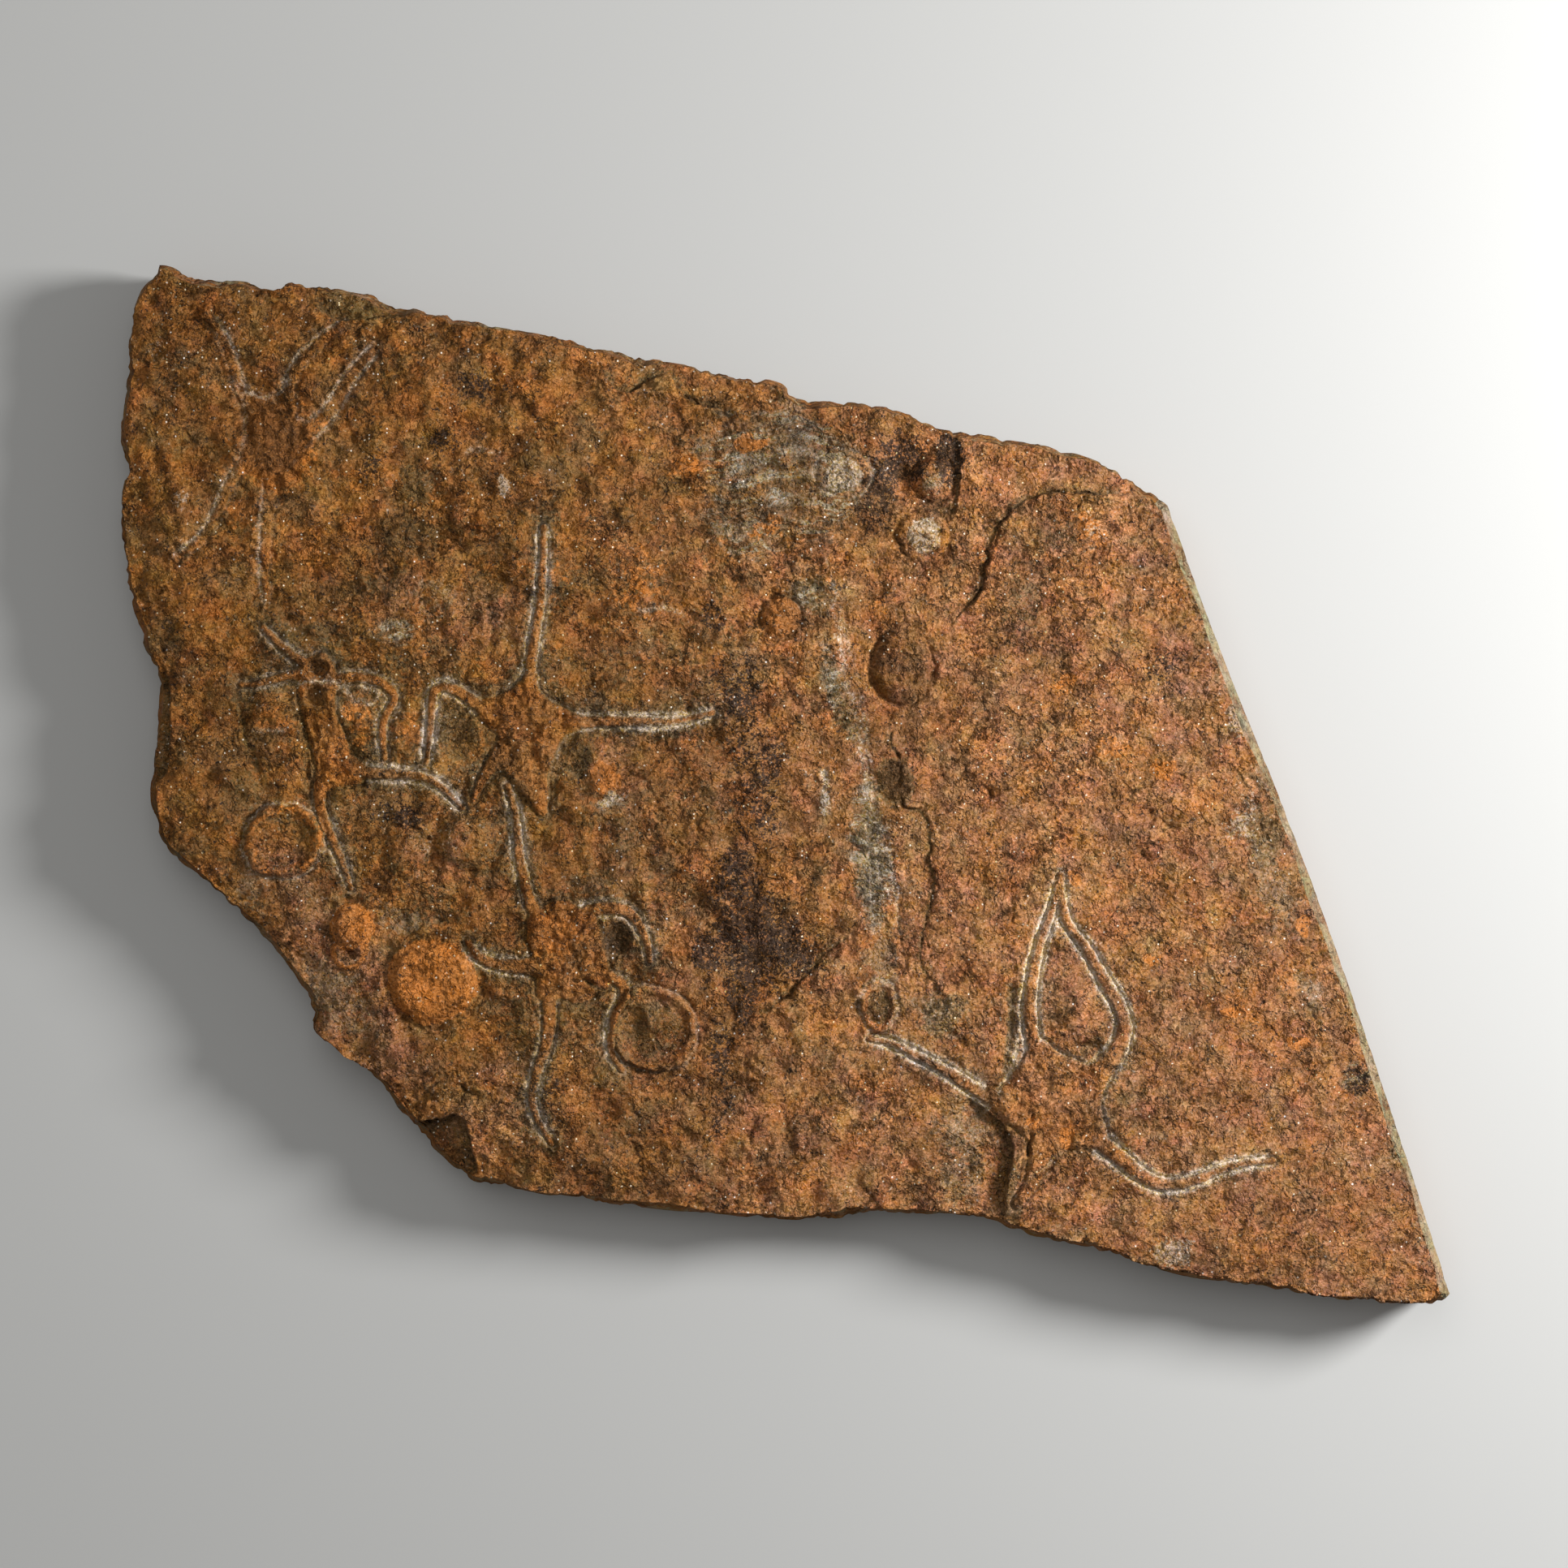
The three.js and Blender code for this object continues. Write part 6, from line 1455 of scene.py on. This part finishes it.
def face_stone(colours):
    """The weathered face in the colours that the scene holds."""
    def fill(t, at):
        inputs = {key: getattr(colours, key.lower().replace(" ", "_"))
                  for key in FACE_COLOURS}
        made = t.place(weathered_face, at, **inputs)
        return made["Color"], made["Roughness"], made["Height"], MM
    return stone_material("Weathered face", fill)


def plain_stone(name, dark, middle, light, roughness, depth, stretched=(1, 1, 1)):
    """Stone without fields: the mottled crust with its own colours."""
    def fill(t, at):
        made = t.place(mottling, t.stretch(at, stretched), Dark=dark, Middle=middle,
                       Light=light)
        return made["Color"], roughness, made["Height"], depth * MM
    return stone_material(name, fill)


# ------------------------------------------------------------------ operators
class FOSSIL_OT_plate(Operator):
    """Build the sandstone slab with its face, broken edges, sawn edge and back"""
    bl_idname = "fossil.plate"
    bl_label = "Sandstone Plate"

    def execute(self, context):
        build_plate(context)
        return {"FINISHED"}


class FOSSIL_OT_stars(Operator):
    """Build the five brittle stars as fine relief let into the plate"""
    bl_idname = "fossil.stars"
    bl_label = "Brittle Stars"

    def execute(self, context):
        for star in STARS:
            inlaid_relief(context, star["name"], star_gap, [star],
                          bounding(star_points(star), clear=6), lift=0.04)
        return {"FINISHED"}


class FOSSIL_OT_discs(Operator):
    """Build the round fossils as fine relief let into the plate"""
    bl_idname = "fossil.discs"
    bl_label = "Fossil Discs"

    def execute(self, context):
        for name, chosen in (("fossil_discs_left", DISCS[:LEFT_DISCS]),
                             ("fossil_discs_right", DISCS[LEFT_DISCS:])):
            inlaid_relief(context, name, disc_gap, chosen,
                          bounding([(disc["x"], disc["y"]) for disc in chosen], clear=14),
                          lift=0.03)
        return {"FINISHED"}


class FOSSIL_OT_ledges(Operator):
    """Build the ledges, trenches and cracks as fine relief let into the plate"""
    bl_idname = "fossil.ledges"
    bl_label = "Ledges and Cracks"

    def execute(self, context):
        lines = LEDGES + CRACKS + TRENCHES
        left = [line["path"][:, 0].mean() < LINES_SPLIT for line in lines]
        for name, side in (("ledges_left", True), ("ledges_right", False)):
            chosen = [line for line, on_left in zip(lines, left) if on_left == side]
            inlaid_relief(context, name, line_gap, chosen,
                          bounding(np.vstack([line["path"] for line in chosen]), clear=5),
                          lift=0.02)
        return {"FINISHED"}


class FOSSIL_OT_stage(Operator):
    """Set the pale floor, the soft lights and the camera that looks straight down"""
    bl_idname = "fossil.stage"
    bl_label = "Stage"

    def execute(self, context):
        sizes, _, stage = settings(context)
        scene = context.scene
        floor_mesh = bpy.data.meshes.new("floor")
        half, under = 1.5, -0.3 * MM
        floor_mesh.from_pydata([(-half, -half, under), (half, -half, under),
                                (half, half, under), (-half, half, under)], [], [(0, 1, 2, 3)])
        floor = bpy.data.objects.new("floor", floor_mesh)
        scene.collection.objects.link(floor)
        paper = bpy.data.materials.new("Pale floor")
        paper.use_nodes = True
        shader = paper.node_tree.nodes["Principled BSDF"]
        shader.inputs["Base Color"].default_value = (0.46, 0.46, 0.45, 1)
        shader.inputs["Roughness"].default_value = 0.9
        floor_mesh.materials.append(paper)

        def lamp(name, power, size, azimuth, elevation, distance):
            """A round soft light that faces the plate, placed by angles in degrees."""
            light = bpy.data.lights.new(name, "AREA")
            light.shape, light.size, light.energy = "DISK", size, power
            lamp_object = bpy.data.objects.new(name, light)
            a, e = math.radians(azimuth), math.radians(elevation)
            lamp_object.location = (distance * math.cos(e) * math.cos(a),
                                    distance * math.cos(e) * math.sin(a),
                                    distance * math.sin(e))
            lamp_object.rotation_euler = (0, math.pi / 2 - e, a)
            scene.collection.objects.link(lamp_object)

        lamp("key_light", stage.key, size=0.2, azimuth=15, elevation=29, distance=0.7)
        lamp("fill_light", stage.fill, size=0.9, azimuth=120, elevation=70, distance=1.1)
        world = bpy.data.worlds.new("Studio")
        world.use_nodes = True
        sky = world.node_tree.nodes["Background"].inputs
        sky["Color"].default_value = (0.95, 0.94, 0.92, 1)
        sky["Strength"].default_value = stage.sky
        scene.world = world
        scene.view_settings.view_transform = "Standard"
        camera = bpy.data.cameras.new("camera")
        camera.lens, camera.sensor_width = stage.lens, stage.sensor
        camera_object = bpy.data.objects.new("camera", camera)
        camera_object.location = (0, 0, sizes.face + stage.field * stage.lens / stage.sensor)
        scene.collection.objects.link(camera_object)
        scene.camera = camera_object
        return {"FINISHED"}


class FOSSIL_PT_panel(Panel):
    """Lists the steps that build the fossil plate, and its settings"""
    bl_idname = "FOSSIL_PT_panel"
    bl_label = "Fossil Plate"
    bl_space_type = "VIEW_3D"
    bl_region_type = "UI"
    bl_category = "Fossil Plate"

    def draw(self, context):
        for operator in OPERATORS:
            self.layout.operator(operator.bl_idname)
        for group in settings(context):
            box = self.layout.box()
            for key in group.bl_rna.properties.keys():
                if key not in ("rna_type", "name"):
                    box.prop(group, key)


GROUPS = (FossilSizes, FossilColours, FossilStage)
OPERATORS = (FOSSIL_OT_plate, FOSSIL_OT_stars, FOSSIL_OT_discs, FOSSIL_OT_ledges,
             FOSSIL_OT_stage)


def register():
    for item in GROUPS + OPERATORS + (FOSSIL_PT_panel,):
        bpy.utils.register_class(item)
    bpy.types.Scene.fossil_sizes = PointerProperty(type=FossilSizes)
    bpy.types.Scene.fossil_colours = PointerProperty(type=FossilColours)
    bpy.types.Scene.fossil_stage = PointerProperty(type=FossilStage)


def unregister():
    del bpy.types.Scene.fossil_sizes
    del bpy.types.Scene.fossil_colours
    del bpy.types.Scene.fossil_stage
    for item in reversed(GROUPS + OPERATORS + (FOSSIL_PT_panel,)):
        bpy.utils.unregister_class(item)


def main():
    """Builds the stage and every piece."""
    register()
    bpy.ops.fossil.stage()
    bpy.ops.fossil.plate()
    bpy.ops.fossil.stars()
    bpy.ops.fossil.discs()
    bpy.ops.fossil.ledges()


if __name__ == "__main__":
    main()
